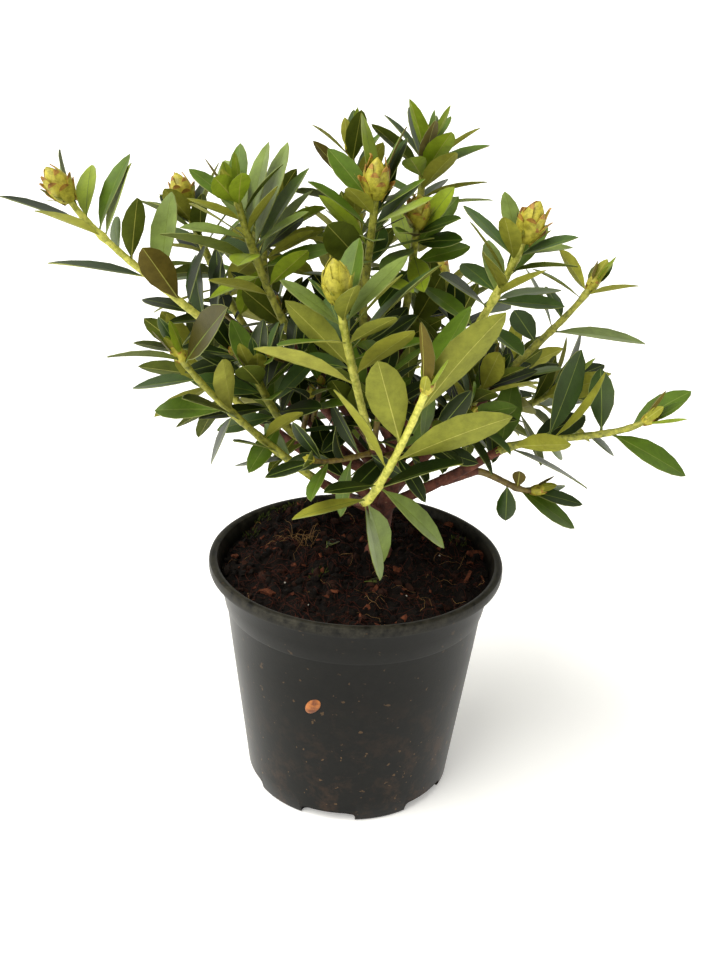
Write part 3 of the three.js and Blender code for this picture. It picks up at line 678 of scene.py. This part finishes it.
stem_foot = np.array([*STEM_FOOT, STEM_FOOT_HEIGHT])
stem_top = np.array([STEM_FOOT[0] + STEM_LEAN[0], STEM_FOOT[1] + STEM_LEAN[1], STEM_TOP_HEIGHT])
stem_knee = np.array([*STEM_FOOT, (STEM_FOOT_HEIGHT + STEM_TOP_HEIGHT) / 2])
limbs = {"trunk": curve_through(stem_foot, stem_knee, stem_top)}
wood = Heap()
# What a leaf must not touch: each thing grown so far, by its owner, its tree of faces and its box.
grown_things = []


def remember(owner, points, faces):
    points = np.asarray(points)
    faces_tree = BVHTree.FromPolygons(points.tolist(), faces)
    grown_things.append((owner, faces_tree, points.min(axis=0), points.max(axis=0)))


trunk_points, trunk_faces = bark_limb(limbs["trunk"], STEM_RADII, TRUNK_SIDES, 1, STEM_FLARE)
wood.add(trunk_points, trunk_faces, 0)
remember("", trunk_points, trunk_faces)
for number, (name, (parent, along, tip, _shoots)) in enumerate(SPRAYS.items()):
    root = point_on(limbs[parent], along)
    tip = at(*tip)
    knee = root + (tip - root) * BOUGH_OUT
    knee[2] = root[2] + (tip[2] - root[2]) * BOUGH_UP
    limbs[name] = curve_through(root, knee, tip)
    limb_points, limb_faces = bark_limb(limbs[name], BOUGH_RADII, BOUGH_SIDES, number + 2)
    wood.add(limb_points, limb_faces, 0)
    remember(name, limb_points, limb_faces)
wood_piece = wood.piece("wood", [bark_finish()], 50)
finish_piece(wood_piece, "bark", "trunk", *("bough_" + name for name in SPRAYS))

# Shoots: the young yellow-green stems that carry the leaves. Each goes on from its bough's tip and turns up
# to the light, slightly swollen where a leaf sits, with finer side twigs from the boughs to fill the crown.
SHOOT_SIDES, SHOOT_STEP, SHOOT_SEAT = 10, 1.2, 1.5
SHOOT_RADII = (1.75, 1.2)
PAD_HEIGHT, PAD_REACH, SCAR_HEIGHT = 0.2, 1.5, 0.07
SHOOT_SWAY, SHOOT_LIFT = 0.25, 0.45
SHOOT_BARE, SHOOT_CROWDING = 0.28, 1.3
TWIG_RADII = (1.15, 0.8)
TWIG_PLACES = (0.4, 0.55, 0.7, 0.85, 0.97)
TWIG_LENGTH, TWIG_SPREAD, TWIG_SEED = 26, 7, 200
TWIG_AHEAD, TWIG_UP = 0.5, (0, 0, 0.35)
TWIG_LEAVES, TWIG_LEAF, TWIG_BARE = 9, 24, 0.12
TWIG_FLOOR = 166
BARE_BOUGHS = ("front_low", "left_low", "right_low", "low_right")
BROWN_SHOOTS = ("low_right",)
BRIGHT_SHOOTS = ("front_low", "front_centre", "far_left", "right_high")
LEAF_COUNT, LEAF_SIZE = 1.6, 0.86
GOLDEN_ANGLE = 137.5
BUD_TOP = {"flower": 0.9, "leaf": 0.97}
STEM_COLOURS = {
    "stem_green": ((150, 154, 50), (214, 210, 98)),
    "twig_brown": ((84, 66, 34), (126, 108, 48)),
    "stem_olive": ((100, 104, 34), (170, 168, 64)),
}
GREEN, BROWN, OLIVE = range(3)


def shoot_curve(root, heading, end):
    sway = SHOOT_SWAY * np.linalg.norm(end - root)
    arrival = unit(end - root) + (0, 0, SHOOT_LIFT)
    return curve_through(root, root + heading * sway, end - unit(arrival) * sway, end)


def stem_finish(name, colours):
    material, tree, shader, place, _colour = blotchy(name, colours, (0.5, 0.4), (420, 5, 0.65), (0.36, 0.6))
    add_bump(tree, shader, cloudy(tree, place, 1400, 4), 0.5, 0.25)
    return material


@dataclass
class Shoot:
    """A shoot or finer twig as it grew, with what its leaves and its bud need to know."""

    spray: str
    curve: tuple
    leaves: int
    leaf_length: float
    turn: float
    bud: str
    seed: int
    bare: float
    stand_out: tuple = ()
    is_twig: bool = False

    def leaf_place(self, k):
        """How far leaf k is from the lowest to the highest, and where it sits: they crowd towards the tip."""
        share = k / (self.leaves - 1)
        crowded = 1 - (1 - share) ** SHOOT_CROWDING
        return share, self.bare + (BUD_TOP[self.bud] - self.bare) * crowded

    def stem(self, radii):
        """A green stem with a small pad under each leaf and faint scars between them."""
        length = self.curve[1][-1]
        steps = max(6, int(length / SHOOT_STEP))
        shares = np.linspace(0, 1, steps + 1)
        rings = radii[0] + (radii[1] - radii[0]) * shares
        pads = [self.leaf_place(k)[1] for k in range(self.leaves)] + [row[0] for row in self.stand_out]
        for pad in pads:
            rings = rings + PAD_HEIGHT * np.exp(-((shares - pad) * length / PAD_REACH) ** 2)
        rings = rings + [SCAR_HEIGHT * chance(self.seed, 40 + step) for step in range(steps + 1)]
        return tube([point_on(self.curve, share) for share in shares], rings, SHOOT_SIDES)


shoots = []
stems = Heap()
for number, (name, (_parent, _along, tip, rows)) in enumerate(SPRAYS.items()):
    mother = None
    for i, (end, leaves, leaf_length, turn, bud, extras) in enumerate(rows):
        if "fork" in extras:
            heading = heading_on(mother, extras["fork"])
            root = point_on(mother, extras["fork"])
        else:
            heading = heading_on(limbs[name], 1)
            root = at(*tip) - SHOOT_SEAT * heading
        curve = shoot_curve(root, heading, at(*end))
        mother = mother or curve
        shoot = Shoot(name, curve, round(LEAF_COUNT * leaves), LEAF_SIZE * leaf_length, turn, bud,
                      3 * number + i + 1, extras.get("bare", SHOOT_BARE), extras.get("stand_out", ()))
        shoots.append(shoot)
        points, faces = shoot.stem(SHOOT_RADII)
        finish = GREEN if name in BRIGHT_SHOOTS else BROWN if name in BROWN_SHOOTS else OLIVE
        stems.add(points, faces, finish)
        remember(name, points, faces)

crown_low = np.array(cad_box[0]) / MM
crown_high = np.array(cad_box[1]) / MM


def touching(owner, points, faces, own_faces):
    """Whether a leaf or twig meets anything grown so far; in its own spray only the own faces count."""
    low, high = points.min(axis=0), points.max(axis=0)
    near = [thing for thing in grown_things if np.all(thing[2] < high) and np.all(thing[3] > low)]
    if not near:
        return False
    whole = BVHTree.FromPolygons(points.tolist(), faces)
    beyond = BVHTree.FromPolygons(points.tolist(), own_faces)
    return any((beyond if thing[0] == owner else whole).overlap(thing[1]) for thing in near)


for number, name in enumerate(SPRAYS):
    if name in BARE_BOUGHS:
        continue
    for i, along in enumerate(TWIG_PLACES):
        seed = TWIG_SEED + 7 * number + i
        root = point_on(limbs[name], along)
        heading = heading_on(limbs[name], along)
        side = unit(np.cross(heading, (0, 0, 1)))
        other = np.cross(side, heading)
        turn = math.radians(GOLDEN_ANGLE * (5 * number + i))
        out = unit(side * math.cos(turn) + other * math.sin(turn) + TWIG_AHEAD * heading + TWIG_UP)
        end = root + out * (TWIG_LENGTH + TWIG_SPREAD * chance(seed, 1))
        curve = shoot_curve(root, out, end)
        twig = Shoot(name, curve, TWIG_LEAVES, TWIG_LEAF, 60 * i, "leaf", seed, TWIG_BARE, is_twig=True)
        points, faces = twig.stem(TWIG_RADII)
        free_faces = faces[3 * SHOOT_SIDES:]
        if end[2] < TWIG_FLOOR or touching("", points, free_faces, free_faces):
            continue
        shoots.append(twig)
        stems.add(points, faces, BROWN)
        remember(name, points, faces)

stem_finishes = [stem_finish(name, colours) for name, colours in STEM_COLOURS.items()]
stems_piece = stems.piece("shoots", stem_finishes, 60)
finish_piece(stems_piece, "foliage")

# Leaves: small leathery blades on short stalks, dark and half glossy above, dull olive below, with a pale
# midrib and a thin pale margin. They climb each shoot in a spiral, wide open below and drawn in to the bud.
LEAF_WIDTH = 0.36
LEAF_THICK = 0.011
LEAF_FOLD, LEAF_ARCH, LEAF_CURL = 0.3, 0.09, 0.13
LEAF_STALK = 0.1
LEAF_WEDGE, LEAF_POINT, LEAF_PEAK = 0.9, 0.76, 0.317
STALK_HALF, TIP_HALF = 0.021, 0.003
LEAF_RING = 8
LEAF_ROWS = np.array([0, 0.1, 0.25, 0.44, 0.64, 0.82, 0.94, 1])
LEAF_OPEN_LOW, LEAF_SAG, LEAF_TO_SKY = 86, 0.12, 0.35
LEAF_CLEARANCE, CROWN_MARGIN = 0.35, 2
OPEN_TIP = {"flower": 40, "leaf": 36}
TURN_TRIES = (0, 14, -14, 28, -28, 42, -42, 58, -58)
RIB_HALF, MARGIN_WIDTH = 0.26, 0.22
TURN_STRAY, LEAN_STRAY, ROLL_STRAY, LENGTH_STRAY, WIDTH_STRAY = 14, 8, 18, 0.12, 0.09
# How a leaf is bent: what is usual, how far one strays from it, and its own run of chances.
LEAF_HABITS = {
    "fold": (LEAF_FOLD, 0.12, 300), "arch": (LEAF_ARCH, 0.05, 330),
    "twist": (0, 0.22, 360), "bend": (0, 0.035, 390),
}
# Two fallen leaves lie on the soil: where, and the heading of each.
FALLEN_LEAVES = ((-13.5, 5, 70), (4, -18, 20))
FALLEN_LENGTH, FALLEN_ARCH, FALLEN_LIFT = 15, 0.2, 2
UPPER, UNDER, RIB, RIB_UNDER, MARGIN = range(5)


def leaf_outline(shares, length, width):
    """Half the width of a leaf at each share of its length: a wedge below, pointed, widest in between."""
    body = np.clip((shares - LEAF_STALK) / (1 - LEAF_STALK), 0, 1)
    blade = body ** LEAF_WEDGE * (1 - body) ** LEAF_POINT / LEAF_PEAK
    least = length * (STALK_HALF + (TIP_HALF - STALK_HALF) * shares)
    return np.maximum(blade * length * width / 2, least)


def leaf_blade(length, width=LEAF_WIDTH, fold=LEAF_FOLD, arch=LEAF_ARCH, twist=0.0, bend=0.0, extra=0.0):
    """The points of a leaf along +X with its upper side to +Z: each row six above, two below the rib."""
    half = leaf_outline(LEAF_ROWS, length, width)
    rib = np.minimum(RIB_HALF * (1 - 0.6 * LEAF_ROWS), 0.4 * half)
    inner = half - np.minimum(MARGIN_WIDTH, 0.3 * half)
    y = np.stack([-half, -inner, -rib, rib, inner, half, -rib, rib], axis=1)
    thick = length * LEAF_THICK + 2 * extra
    z = fold * np.abs(y) - LEAF_CURL * half[:, None] * (y / half[:, None]) ** 4
    z = z + thick * np.array([0, 0.4, 0.3, 0.3, 0.4, 0, -0.7, -0.7])
    turn = twist * LEAF_ROWS[:, None]
    x = np.broadcast_to(length * LEAF_ROWS[:, None], y.shape)
    across = y * np.cos(turn) - z * np.sin(turn) + bend * length * LEAF_ROWS[:, None] ** 2
    high = y * np.sin(turn) + z * np.cos(turn) - arch * length * LEAF_ROWS[:, None] ** 2
    return np.stack([x, across, high], axis=2).reshape(-1, 3)


def leaf_faces():
    """The faces of a leaf and the kind of each: above, below, ribs and margin."""
    above = ((0, 1, MARGIN), (1, 2, UPPER), (2, 3, RIB), (3, 4, UPPER), (4, 5, MARGIN))
    below = ((6, 0, UNDER), (7, 6, RIB_UNDER), (5, 7, UNDER))
    faces, kinds = [], []
    for row in range(len(LEAF_ROWS) - 1):
        here, onward = row * LEAF_RING, (row + 1) * LEAF_RING
        for first, second, kind in above + below:
            faces.append((here + first, onward + first, onward + second, here + second))
            kinds.append(kind)
    ring = (0, 1, 2, 3, 4, 5, 7, 6)
    faces.append(ring)
    faces.append(tuple((len(LEAF_ROWS) - 1) * LEAF_RING + corner for corner in reversed(ring)))
    return faces, np.array(kinds + [RIB, MARGIN])


LEAF_FACES, LEAF_KINDS = leaf_faces()
LEAF_FREE_FACES = [face for face in LEAF_FACES if min(face) >= 2 * LEAF_RING]


def leaf_frame(curve, along, direction, roll):
    """Along, across and up from a leaf: its upper side looks to the shoot's tip and the sky."""
    face = heading_on(curve, along) + (0, 0, LEAF_TO_SKY)
    face = unit(face - direction * face.dot(direction))
    turn = math.radians(roll)
    face = face * math.cos(turn) + np.cross(direction, face) * math.sin(turn)
    return np.stack([direction, np.cross(face, direction), face])


def spiral_leaf(shoot, k, extra_turn):
    """Leaf k of a shoot: its length, frame and root."""
    seed = shoot.seed
    share, along = shoot.leaf_place(k)
    axis = heading_on(shoot.curve, along)
    away = unit(np.array([0, 1, 0]) - axis * axis[1])
    side = np.cross(axis, away)
    angle = math.radians(shoot.turn + k * GOLDEN_ANGLE + TURN_STRAY * chance(seed, 5 * k) + extra_turn)
    out = away * math.cos(angle) + side * math.sin(angle)
    open_tip = OPEN_TIP[shoot.bud]
    opened = open_tip + (LEAF_OPEN_LOW - open_tip) * (1 - share) ** 2
    lean = math.radians(opened + LEAN_STRAY * chance(seed, 5 * k + 1))
    direction = axis * math.cos(lean) + out * math.sin(lean)
    direction = unit(direction - (0, 0, LEAF_SAG * (1 - share)))
    grown = 0.7 + 0.4 * math.sin(math.pi * min(1, 0.25 + 0.6 * share))
    length = shoot.leaf_length * grown * (1 + LENGTH_STRAY * chance(seed, 5 * k + 2))
    roll = ROLL_STRAY * chance(seed, 5 * k + 3)
    return length, leaf_frame(shoot.curve, along, direction, roll), point_on(shoot.curve, along)


def stand_out_leaf(shoot, k, extra_turn):
    along, heading, rise, length, roll = shoot.stand_out[k]
    up = math.radians(rise)
    direction = at(heading + extra_turn, math.cos(up), math.sin(up))
    return length, leaf_frame(shoot.curve, along, direction, roll), point_on(shoot.curve, along)


# The finishes of the leaves of each spray, above and below, dealt out in turn. Some leaves that sit in the
# crown's shade take the darker dusk and deep colours as painted shade.
LEAF_COLOURS = {
    "deep": (22, 37, 6), "dark": (41, 63, 14), "grey": (66, 91, 40), "mid": (76, 101, 21),
    "fresh": (132, 150, 36), "olive": (142, 142, 50), "pale": (154, 154, 66), "sage": (116, 134, 64),
    "bronze": (94, 82, 30), "dusk": (80, 90, 24), "umber": (60, 55, 19), "khaki": (124, 127, 47),
}
SPRAY_COLOURS = {
    "far_left": ("mid deep dark fresh mid fresh dusk sage bronze deep mid mid dark deep deep",
                 "olive dusk pale olive dusk olive dusk olive bronze dusk dusk dusk dusk olive dusk"),
    "left_low": ("dark mid deep deep olive dark dark mid mid mid dusk umber",
                 "dusk olive dusk dusk pale dusk dusk dusk olive olive dusk umber"),
    "front_low": ("khaki khaki khaki mid bronze mid deep deep olive sage sage sage",
                  "khaki khaki khaki olive bronze olive olive dusk olive pale pale olive"),
    "front_centre": ("mid mid sage grey mid mid grey dark mid grey",
                     "khaki pale pale khaki khaki olive olive olive dusk"),
    "right_low": ("mid mid dark dark dark mid deep mid dark mid mid",
                  "olive dusk dusk dusk dusk olive dusk olive dusk olive"),
    "far_right": ("sage dark dark mid dark mid", "olive dusk olive"),
    "centre_left": ("fresh sage sage mid sage deep mid mid mid mid fresh mid dark",
                    "fresh olive olive olive olive dusk dusk"),
    "leader": ("mid mid fresh mid dark mid fresh dark", "dusk olive olive bronze dusk olive dusk"),
    "right_high": ("grey deep grey sage mid mid mid dark", "olive dusk dusk olive dusk olive dusk"),
    "right_top": ("dark mid fresh fresh mid mid dark fresh mid", "olive bronze fresh fresh olive olive dusk"),
    "low_right": ("dark mid dark dark dusk", "dusk olive dusk dusk bronze"),
    # The finer twigs' leaves fill the inside of the crown and take the darkest colours, a painted shade for
    # the crown's dark inside; the two fallen leaves take the first of them.
    "twig": ("deep deep mid", "dusk deep"),
    "bract": ("bronze olive", "bronze olive bronze"),
}
PLAIN_SPRAY = ("deep mid deep grey", "dusk olive")
LEAF_SHEEN = (0.95, 1, 0.7, 1)
LEAF_GLOSS = {"upper": (0.4, 0.34), "under": (0.62, 0.16)}
RIB_COLOURS = {
    "rib": ((104, 120, 46), 0.5), "rib_under": ((160, 158, 70), 0.6), "margin": ((118, 126, 64), 0.55),
}
RIB_SPECULAR = 0.4


def leaf_finish(name, colour, roughness, specular):
    """A leathery leaf skin of one colour, a little uneven, with fine grain in it."""
    colours = [0.87 * value for value in colour], [min(255, 1.09 * value + 1) for value in colour]
    material, tree, shader, place, _colour = blotchy("leaf_" + name, colours, (roughness, specular),
                                                     (150, 9, 0.72), (0.34, 0.66))
    shader.inputs["Specular Tint"].default_value = LEAF_SHEEN
    add_bump(tree, shader, cloudy(tree, place, 1100, 4), 0.35, 0.2)
    return material


leaf_materials, leaf_slots = [], {}
for name, colour in LEAF_COLOURS.items():
    for side, gloss in LEAF_GLOSS.items():
        leaf_slots[name, side] = len(leaf_materials)
        leaf_materials.append(leaf_finish(name + "_" + side, colour, *gloss))
for name, (colour, roughness) in RIB_COLOURS.items():
    leaf_slots[name] = len(leaf_materials)
    leaf_materials.append(leaf_finish(name, colour, roughness, RIB_SPECULAR))


def leaf_finishes(spray, number):
    """The finish of each face of a spray's leaf, by what the spray's leaves take in turn."""
    uppers, unders = (names.split() for names in SPRAY_COLOURS.get(spray, PLAIN_SPRAY))
    slots = np.empty(5, dtype=np.int32)
    slots[UPPER] = leaf_slots[uppers[number % len(uppers)], "upper"]
    slots[UNDER] = leaf_slots[unders[number % len(unders)], "under"]
    slots[RIB] = leaf_slots["rib"]
    slots[RIB_UNDER] = leaf_slots["rib_under"]
    slots[MARGIN] = leaf_slots["margin"]
    return slots[LEAF_KINDS]


def grow_leaves(heap, shoot):
    """Each leaf of a shoot that finds room is turned a little where it would touch something, or left out."""
    places = [(stand_out_leaf, k) for k in range(len(shoot.stand_out))]
    places += [(spiral_leaf, k) for k in range(shoot.leaves)]
    for number, (rule, k) in enumerate(places):
        habit = {"width": LEAF_WIDTH * (1 + WIDTH_STRAY * chance(shoot.seed, 420 + number))}
        for bent, (usual, stray, first) in LEAF_HABITS.items():
            habit[bent] = usual + stray * chance(shoot.seed, first + number)
        for extra_turn in TURN_TRIES:
            length, axes, root = rule(shoot, k, extra_turn)
            test = leaf_blade(length, extra=LEAF_CLEARANCE, **habit) @ axes + root
            low, high = test.min(axis=0), test.max(axis=0)
            if np.any(low < crown_low - CROWN_MARGIN) or np.any(high > crown_high + CROWN_MARGIN):
                continue
            if touching(shoot.spray, test, LEAF_FACES, LEAF_FREE_FACES):
                continue
            points = leaf_blade(length, **habit) @ axes + root
            heap.add(points, LEAF_FACES, leaf_finishes("twig" if shoot.is_twig else shoot.spray, number))
            remember(shoot.spray, points, LEAF_FACES)
            break


SIDES = {
    "leaves_front": ("front_low", "front_centre", "left_low", "inner_left"),
    "leaves_left": ("far_left", "left_back", "centre_left", "back_low_left"),
    "leaves_right": ("right_low", "low_right", "far_right", "right_back", "inner_right", "right_high"),
    "leaves_back": ("leader", "right_top", "back_right", "back_left", "back_centre", "back_low_right",
                    "back_low"),
}
side_of = {spray: side for side, sprays in SIDES.items() for spray in sprays}
leaf_heaps = {side: Heap() for side in SIDES}
for is_twig in (False, True):
    for shoot in shoots:
        if shoot.is_twig == is_twig:
            grow_leaves(leaf_heaps[side_of[shoot.spray]], shoot)
for x, y, heading in FALLEN_LEAVES:
    axes = np.stack([at(heading, 1, 0), at(heading + 90, 1, 0), (0, 0, 1)])
    spot = (x, y, soil_height(x, y) + FALLEN_LIFT)
    points = leaf_blade(FALLEN_LENGTH, arch=FALLEN_ARCH) @ axes + spot
    leaf_heaps["leaves_front"].add(points, LEAF_FACES, leaf_finishes("twig", 0))
for side, sprays in SIDES.items():
    leaves_piece = leaf_heaps[side].piece(side, leaf_materials, 45)
    finish_piece(leaves_piece, "foliage", *("foliage_" + spray for spray in sprays))

# Buds: fat flower buds of overlapping pointed scales, yellow-green with rust-brown edges, and slim leaf buds,
# each on the tip of its shoot with narrow bracts or young leaves round it.
BUD_SIZES = {"flower": (16, 4.6), "leaf": (9, 2.2)}
SMOOTH_BUDS = ("front_centre",)
TWIG_BUD, BUD_SEAT = 0.62, 0.6
BUD_SIDES, BUD_RINGS = 14, 11
BUD_SHARES = (0, 0.12, 0.3, 0.45, 0.65, 0.82, 0.94, 1)
BUD_OUTLINE = (0.5, 0.76, 0.96, 1, 0.88, 0.6, 0.3, 0.06)
SCALE_COUNTS = {"flower": 15, "leaf": 8}
SCALE_LIFT, SMOOTH_LIFT = 0.34, 0.06
SCALE_THICK, SCALE_GAP = 0.34, 0.25
SCALE_ROWS = np.array([0, 0.3, 0.55, 0.78, 0.92, 1])
SCALE_COLUMNS = np.array([-1, -0.62, 0, 0.62, 1])
# The bracts under each kind of bud: how many, how far they lean out, their length and width.
BRACTS = {"flower": (7, 48, 10, 0.2), "leaf": (6, 20, 15, 0.36)}
BRACT_ARCH, BRACT_CLEARANCE = -0.12, 0.1
BUD_GREEN, BUD_RUST = ((138, 130, 32), (190, 180, 60)), ((120, 78, 30), (180, 136, 52))


def bud_radius(share, radius):
    """The outline of a bud: narrow at its neck, widest below the middle, pointed at its tip."""
    return radius * np.interp(share, BUD_SHARES, BUD_OUTLINE)


def bud_scale(length, radius, start, reach, half_turn, turn, lift):
    """One scale: a thin pointed shell bent round the bud, from a share of its length upwards."""
    layers = []
    for skin in (SCALE_THICK, 0.0):
        shares = start + reach * SCALE_ROWS
        width = half_turn * (1 - 0.98 * SCALE_ROWS) ** 0.62 * (0.8 + 0.5 * SCALE_ROWS)
        turns = turn + width[:, None] * SCALE_COLUMNS
        out = bud_radius(np.clip(shares, 0, 1), radius) + SCALE_GAP + skin + lift * SCALE_ROWS ** 3
        spread = out[:, None] * np.ones(len(SCALE_COLUMNS)) - 0.1 * np.abs(SCALE_COLUMNS)
        height = np.broadcast_to(length * shares[:, None], turns.shape)
        points = np.stack([spread * np.cos(turns), spread * np.sin(turns), height], axis=2)
        layers.append(points.reshape(-1, 3))
    return np.concatenate(layers)


def scale_faces():
    rows, columns = len(SCALE_ROWS), len(SCALE_COLUMNS)
    below = rows * columns
    faces, kinds = [], []
    for row in range(rows - 1):
        here, onward = row * columns, (row + 1) * columns
        for column in range(columns - 1):
            ring = (here + column, here + column + 1, onward + column + 1, onward + column)
            faces.append(ring)
            faces.append(tuple(corner + below for corner in reversed(ring)))
            rusty = int(row >= rows - 3)
            kinds += [rusty, rusty]
        last = columns - 1
        faces.append((onward, onward + below, here + below, here))
        faces.append((here + last, here + last + below, onward + last + below, onward + last))
        kinds += [1, 1]
    tip = (rows - 1) * columns
    for column in range(columns - 1):
        faces.append((column, column + below, column + 1 + below, column + 1))
        faces.append((tip + column + 1, tip + column + 1 + below, tip + column + below, tip + column))
        kinds += [0, 1]
    return faces, np.array(kinds)


SCALE_FACES, SCALE_KINDS = scale_faces()


def upright_axes(axis):
    side = unit(np.cross(axis, (0.3, -0.9, 0.2)))
    return np.stack([side, np.cross(axis, side), axis])


def bud_core(length, radius):
    shares = np.linspace(0, 1, BUD_RINGS)
    spots = [(0, 0, length * share) for share in shares]
    return tube(spots, bud_radius(shares, radius), BUD_SIDES)


def grow_bud(buds, bracts, shoot):
    kind, seed = shoot.bud, shoot.seed
    smooth = shoot.spray in SMOOTH_BUDS
    grown = (TWIG_BUD if shoot.is_twig else 1) * (1 + 0.1 * chance(seed, 500))
    length, radius = (size * grown for size in BUD_SIZES[kind])
    axis = heading_on(shoot.curve, 1)
    axes = upright_axes(axis)
    foot = point_on(shoot.curve, 1) - BUD_SEAT * axis
    core, core_faces = bud_core(length, radius)
    buds.add(core @ axes + foot, core_faces, 0)
    scale_lift = SMOOTH_LIFT if smooth or kind == "leaf" else SCALE_LIFT
    for k in range(SCALE_COUNTS[kind]):
        level = k / (SCALE_COUNTS[kind] - 1)
        start = -0.05 + 0.5 * level
        reach = (0.46 + 0.1 * level) * (1 + 0.1 * chance(seed, 520 + k))
        half_turn = math.radians(50 - 12 * level)
        lift = scale_lift * radius * (1 + chance(seed, 560 + k))
        turn = math.radians(k * GOLDEN_ANGLE)
        points = bud_scale(length, radius, start, reach, half_turn, turn, lift)
        buds.add(points @ axes + foot, SCALE_FACES, 0 * SCALE_KINDS if smooth else SCALE_KINDS)
    if shoot.is_twig:
        return
    bract_count, bract_lean, bract_length, width = BRACTS[kind]
    for k in range(bract_count):
        turn = math.radians(k * GOLDEN_ANGLE + 40)
        lean = math.radians(bract_lean + 12 * chance(seed, 600 + k))
        out = axes[0] * math.cos(turn) + axes[1] * math.sin(turn)
        direction = unit(axis * math.cos(lean) + out * math.sin(lean))
        size = bract_length * (1 + 0.3 * chance(seed, 640 + k))
        face = unit(axis - direction * axis.dot(direction))
        frame_axes = np.stack([direction, np.cross(face, direction), face])
        root = foot + axis * (BUD_SEAT - 0.25 * k) + out * 0.7
        test = leaf_blade(size, width, arch=BRACT_ARCH, extra=BRACT_CLEARANCE) @ frame_axes + root
        if touching(shoot.spray, test, LEAF_FACES, LEAF_FREE_FACES):
            continue
        points = leaf_blade(size, width, arch=BRACT_ARCH) @ frame_axes + root
        bracts.add(points, LEAF_FACES, leaf_finishes("right_top" if kind == "leaf" else "bract", k))


buds, bracts = Heap(), Heap()
for shoot in shoots:
    grow_bud(buds, bracts, shoot)
bud_finishes = [stem_finish("bud_green", BUD_GREEN), stem_finish("bud_rust", BUD_RUST)]
finish_piece(buds.piece("buds", bud_finishes, 50), "foliage")
finish_piece(bracts.piece("bracts", leaf_materials, 45), "foliage")

# Stage: a plain white floor under soft light from the left, seen from a little above.
CAMERA_PLACE = (0, -467.35, 350.29)
CAMERA_RIGHT = (0.99911, 0.01631, 0.03883)
CAMERA_UP = (-0.0421, 0.40859, 0.91175)
FOCAL_PIXELS, PHOTO_HEIGHT = 1180.7, 980
FLOOR_SIZE, FLOOR_DROP = 80, 0.0002
LIGHT_HEADING = (1, 0.55, -1.5)

bpy.ops.object.select_all(action="DESELECT")
bpy.ops.mesh.primitive_plane_add(size=FLOOR_SIZE, location=(0, 0, -FLOOR_DROP))
floor = bpy.context.object
floor.name = "floor"
floor_white, _tree, floor_shader = new_finish("floor_white", (0.97, 0.968, 0.96, 1), 0.8, 0.2)
floor_shader.inputs["Emission Color"].default_value = (1, 0.99, 0.97, 1)
floor_shader.inputs["Emission Strength"].default_value = 0.27
floor.data.materials.append(floor_white)

world = bpy.data.worlds.new("studio")
world.use_nodes = True
sky = world.node_tree
glow = sky.nodes["Background"]
glow.inputs["Color"].default_value = (1, 0.985, 0.925, 1)
outlook = add_node(sky, "ShaderNodeTexCoord", {}).outputs["Generated"]
upward = add_node(sky, "ShaderNodeSeparateXYZ", {"Vector": outlook}).outputs["Z"]
sky.links.new(ramp(sky, upward, 0.22, 0.34, 1.0, 0.46), glow.inputs["Strength"])
bpy.context.scene.world = world

lamp = bpy.data.lights.new("window_left", "SUN")
lamp.energy = 3.9
lamp.color = (1, 0.99, 0.94)
lamp.angle = math.radians(64)
window = bpy.data.objects.new("window_left", lamp)
window.rotation_euler = Vector(LIGHT_HEADING).to_track_quat("-Z", "Y").to_euler()
bpy.context.scene.collection.objects.link(window)

lens = bpy.data.cameras.new("photo_view")
lens.sensor_fit = "VERTICAL"
lens.sensor_height = 36
lens.lens = FOCAL_PIXELS / PHOTO_HEIGHT * lens.sensor_height
lens.clip_start = 0.01
lens.clip_end = 100
viewer = bpy.data.objects.new("photo_view", lens)
right, up = Vector(CAMERA_RIGHT), Vector(CAMERA_UP)
turned = Matrix((right, up, right.cross(up))).transposed().to_4x4()
viewer.matrix_world = Matrix.Translation(Vector(CAMERA_PLACE) * MM) @ turned
bpy.context.scene.collection.objects.link(viewer)
bpy.context.scene.camera = viewer
bpy.context.scene.view_settings.view_transform = "Standard"
